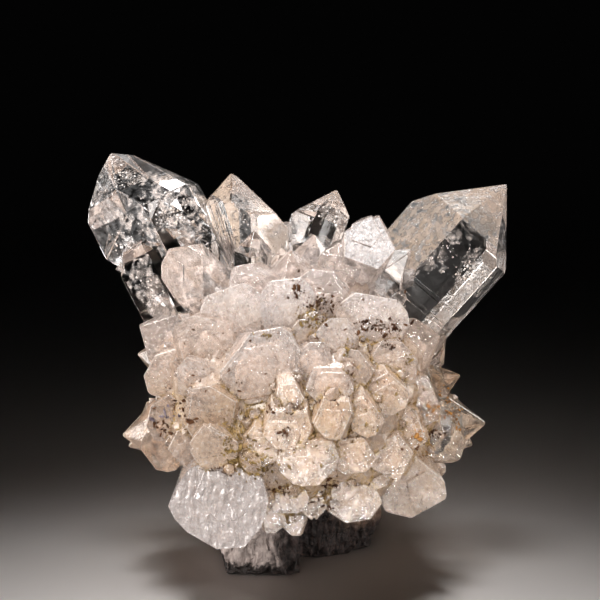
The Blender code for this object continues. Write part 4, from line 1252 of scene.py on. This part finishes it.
# Matrix rock: nearly black in the middle, partly dark clay and partly painted shade of the hollow
# under the crystals; grey and translucent at the left lump, darker towards its bottom edge; brown and glassy at the
# right
mat, nt, shader = new_material("matrix_rock")
P = millimetres(nt)
split = node(nt, "ShaderNodeSeparateXYZ", None, 0, Vector=P)
px = split
pz = split.node.outputs[2]
py = split.node.outputs[1]
wob = calc(nt, "MULTIPLY", calc(nt, "SUBTRACT", cloud(nt, P, 0.5, 4), 0.5), 6.0)
xw = calc(nt, "ADD", px, wob)
grey_m = calc(nt, "MULTIPLY", ramp(nt, xw, -2.2, -4.6), ramp(nt, py, 4.0, -2.0))
brown_m = calc(nt, "MULTIPLY", ramp(nt, xw, 4.5, 8.5), ramp(nt, pz, 3.0, 7.0))
tall = node(nt, "ShaderNodeMapping", None, 0, Vector=P, Scale=(1.6, 1.6, 0.35))
streak = cloud(nt, tall, 1.0, 5, 0.68)
# Near-black middle: partly dark clay, partly painted shade of the hollow under the crystals.
base = blend(nt, ramp(nt, streak, 0.42, 0.66), (0.012, 0.008, 0.007, 1), (0.05, 0.031, 0.027, 1))
base = blend(nt, ramp(nt, cloud(nt, P, 2.4, 4, 0.7), 0.56, 0.72, 0.0, 0.8), base, (0.12, 0.07, 0.045, 1))
grey = blend(nt, ramp(nt, streak, 0.36, 0.62), (0.26, 0.21, 0.19, 1), (0.50, 0.42, 0.385, 1))
# The grey lump turns nearly black towards its bottom edge.
grey = blend(nt, ramp(nt, calc(nt, "ADD", pz, calc(nt, "MULTIPLY", calc(nt, "SUBTRACT", cloud(nt, P, 0.7, 4, 0.65), 0.5), 5.0)), 1.9, 1.0), grey, (0.02, 0.014, 0.012, 1))
base = blend(nt, grey_m, base, grey)
brown = blend(nt, ramp(nt, cloud(nt, P, 1.0, 4), 0.4, 0.62), (0.11, 0.06, 0.035, 1), (0.32, 0.20, 0.13, 1))
base = blend(nt, brown_m, base, brown)
put(nt, shader.inputs["Base Color"], base)
gloss = ramp(nt, cloud(nt, P, 1.8, 4, 0.7), 0.45, 0.62)
rough = calc(nt, "SUBTRACT", 0.78, calc(nt, "MULTIPLY", gloss, calc(nt, "ADD", calc(nt, "MULTIPLY", calc(nt, "ADD", grey_m, brown_m), 0.22), 0.32)))
put(nt, shader.inputs["Roughness"], rough)
height = calc(nt, "ADD", calc(nt, "MULTIPLY", cloud(nt, P, 4.0, 5, 0.7), 1.0), calc(nt, "MULTIPLY", streak, 1.2))
bump = node(nt, "ShaderNodeBump", None, 0, Strength=1.0, Distance=0.00016, Height=height)
glints = vector(nt, "SUBTRACT", voronoi(nt, P, 1.7, out=1), (0.5, 0.5, 0.5))
put(nt, shader.inputs["Normal"], vector(nt, "NORMALIZE", vector(nt, "ADD", bump, vector(nt, "SCALE", glints, scale=calc(nt, "MULTIPLY", gloss, 0.5)))))
rock_object.data.materials.append(mat)

# ---------------------------------------------------------------- floor, light, camera

floor = bmesh.new()
bmesh.ops.create_grid(floor, x_segments=1, y_segments=1, size=0.6)
floor_mesh = bpy.data.meshes.new("floor")
floor.to_mesh(floor_mesh)
floor.free()
floor = bpy.data.objects.new("floor", floor_mesh)
bpy.context.scene.collection.objects.link(floor)
floor.location.z = -0.00005
mat, nt, shader = new_material("floor")
shader.inputs["Base Color"].default_value = (0.80, 0.77, 0.755, 1)
shader.inputs["Roughness"].default_value = 0.6
floor_mesh.materials.append(mat)

on_object = bpy.data.collections.new("lit_by_softboxes")
for obj in [quartz, veil_object, bubble_object, rock_object] + milk_shells + list(clay_objects.values()):
    on_object.objects.link(obj)


def softbox(name, where, aim, size, watts, colour=(1, 1, 1)):
    light = bpy.data.lights.new(name, "AREA")
    light.shape = "RECTANGLE"
    light.size, light.size_y = size
    light.energy, light.color = watts, colour
    obj = bpy.data.objects.new(name, light)
    obj.location = where
    obj.rotation_euler = (Vector(aim) - Vector(where)).to_track_quat("-Z", "Y").to_euler()
    bpy.context.scene.collection.objects.link(obj)
    obj.light_linking.receiver_collection = on_object
    return obj


softbox("key", (-0.11, -0.13, 0.19), (0, 0, 0.035), (0.10, 0.08), 0.56, (1.0, 0.97, 0.95))
for n, (x, y, z) in enumerate(((-0.05, -0.17, 0.13), (0.06, -0.16, 0.15), (-0.15, -0.12, 0.05),
                               (0.13, -0.14, 0.11), (-0.02, -0.12, 0.22))):
    softbox("lamp_%d" % n, (x, y, z), (0, 0, 0.035), (0.012, 0.012), 0.025)
for n, (x, z) in enumerate(((0.010, 0.024), (0.015, 0.002))):
    softbox("glint_%d" % n, (x, -0.185, z), (0.009, 0, 0.045), (0.008, 0.008), 0.05)
softbox("top", (0.02, 0.03, 0.21), (0, 0, 0.035), (0.14, 0.09), 0.25)
softbox("fill", (0.17, -0.12, 0.07), (0, 0, 0.035), (0.07, 0.10), 0.26, (1.0, 0.95, 0.92))
softbox("fill_left", (-0.18, -0.10, 0.03), (0, 0, 0.03), (0.07, 0.10), 0.42, (1.0, 0.95, 0.92))
softbox("rim_left", (-0.19, 0.05, 0.0), (0, 0, 0.03), (0.05, 0.10), 0.12)
softbox("rim_right", (0.16, 0.10, 0.10), (0, 0, 0.04), (0.04, 0.14), 0.12)

spot = bpy.data.lights.new("pool", "SPOT")
spot.energy, spot.spot_size, spot.spot_blend, spot.shadow_soft_size = 6.0, math.radians(40), 1.0, 0.04
spot.color = (1.0, 0.97, 0.95)
pool = bpy.data.objects.new("pool", spot)
pool.location, pool.rotation_euler = (-0.02, -0.05, 0.30), (math.radians(-7), math.radians(-4), 0)
bpy.context.scene.collection.objects.link(pool)

world = bpy.data.worlds.new("world")
bpy.context.scene.world = world
world.use_nodes = True
world.node_tree.nodes["Background"].inputs["Color"].default_value = (0.0012, 0.0012, 0.0012, 1)

camera = bpy.data.objects.new("camera", bpy.data.cameras.new("camera"))
camera.data.lens, camera.data.sensor_width = 63.6, 36.0
camera.data.clip_start, camera.data.clip_end = 0.005, 5.0
camera.location = (0.0, -0.153, 0.063)
camera.rotation_euler = (math.radians(80.9), 0, 0)
bpy.context.scene.collection.objects.link(camera)
bpy.context.scene.camera = camera

scene = bpy.context.scene
scene.view_settings.view_transform = "Standard"
scene.view_settings.look = "None"
scene.view_settings.exposure = -0.37
scene.cycles.use_denoising = True
scene.cycles.adaptive_threshold = 0.02
scene.cycles.max_bounces = 14
scene.cycles.transmission_bounces = 12
scene.cycles.glossy_bounces = 5
scene.cycles.diffuse_bounces = 2
scene.cycles.transparent_max_bounces = 12
scene.cycles.blur_glossy = 0.25
scene.cycles.sample_clamp_indirect = 6.0
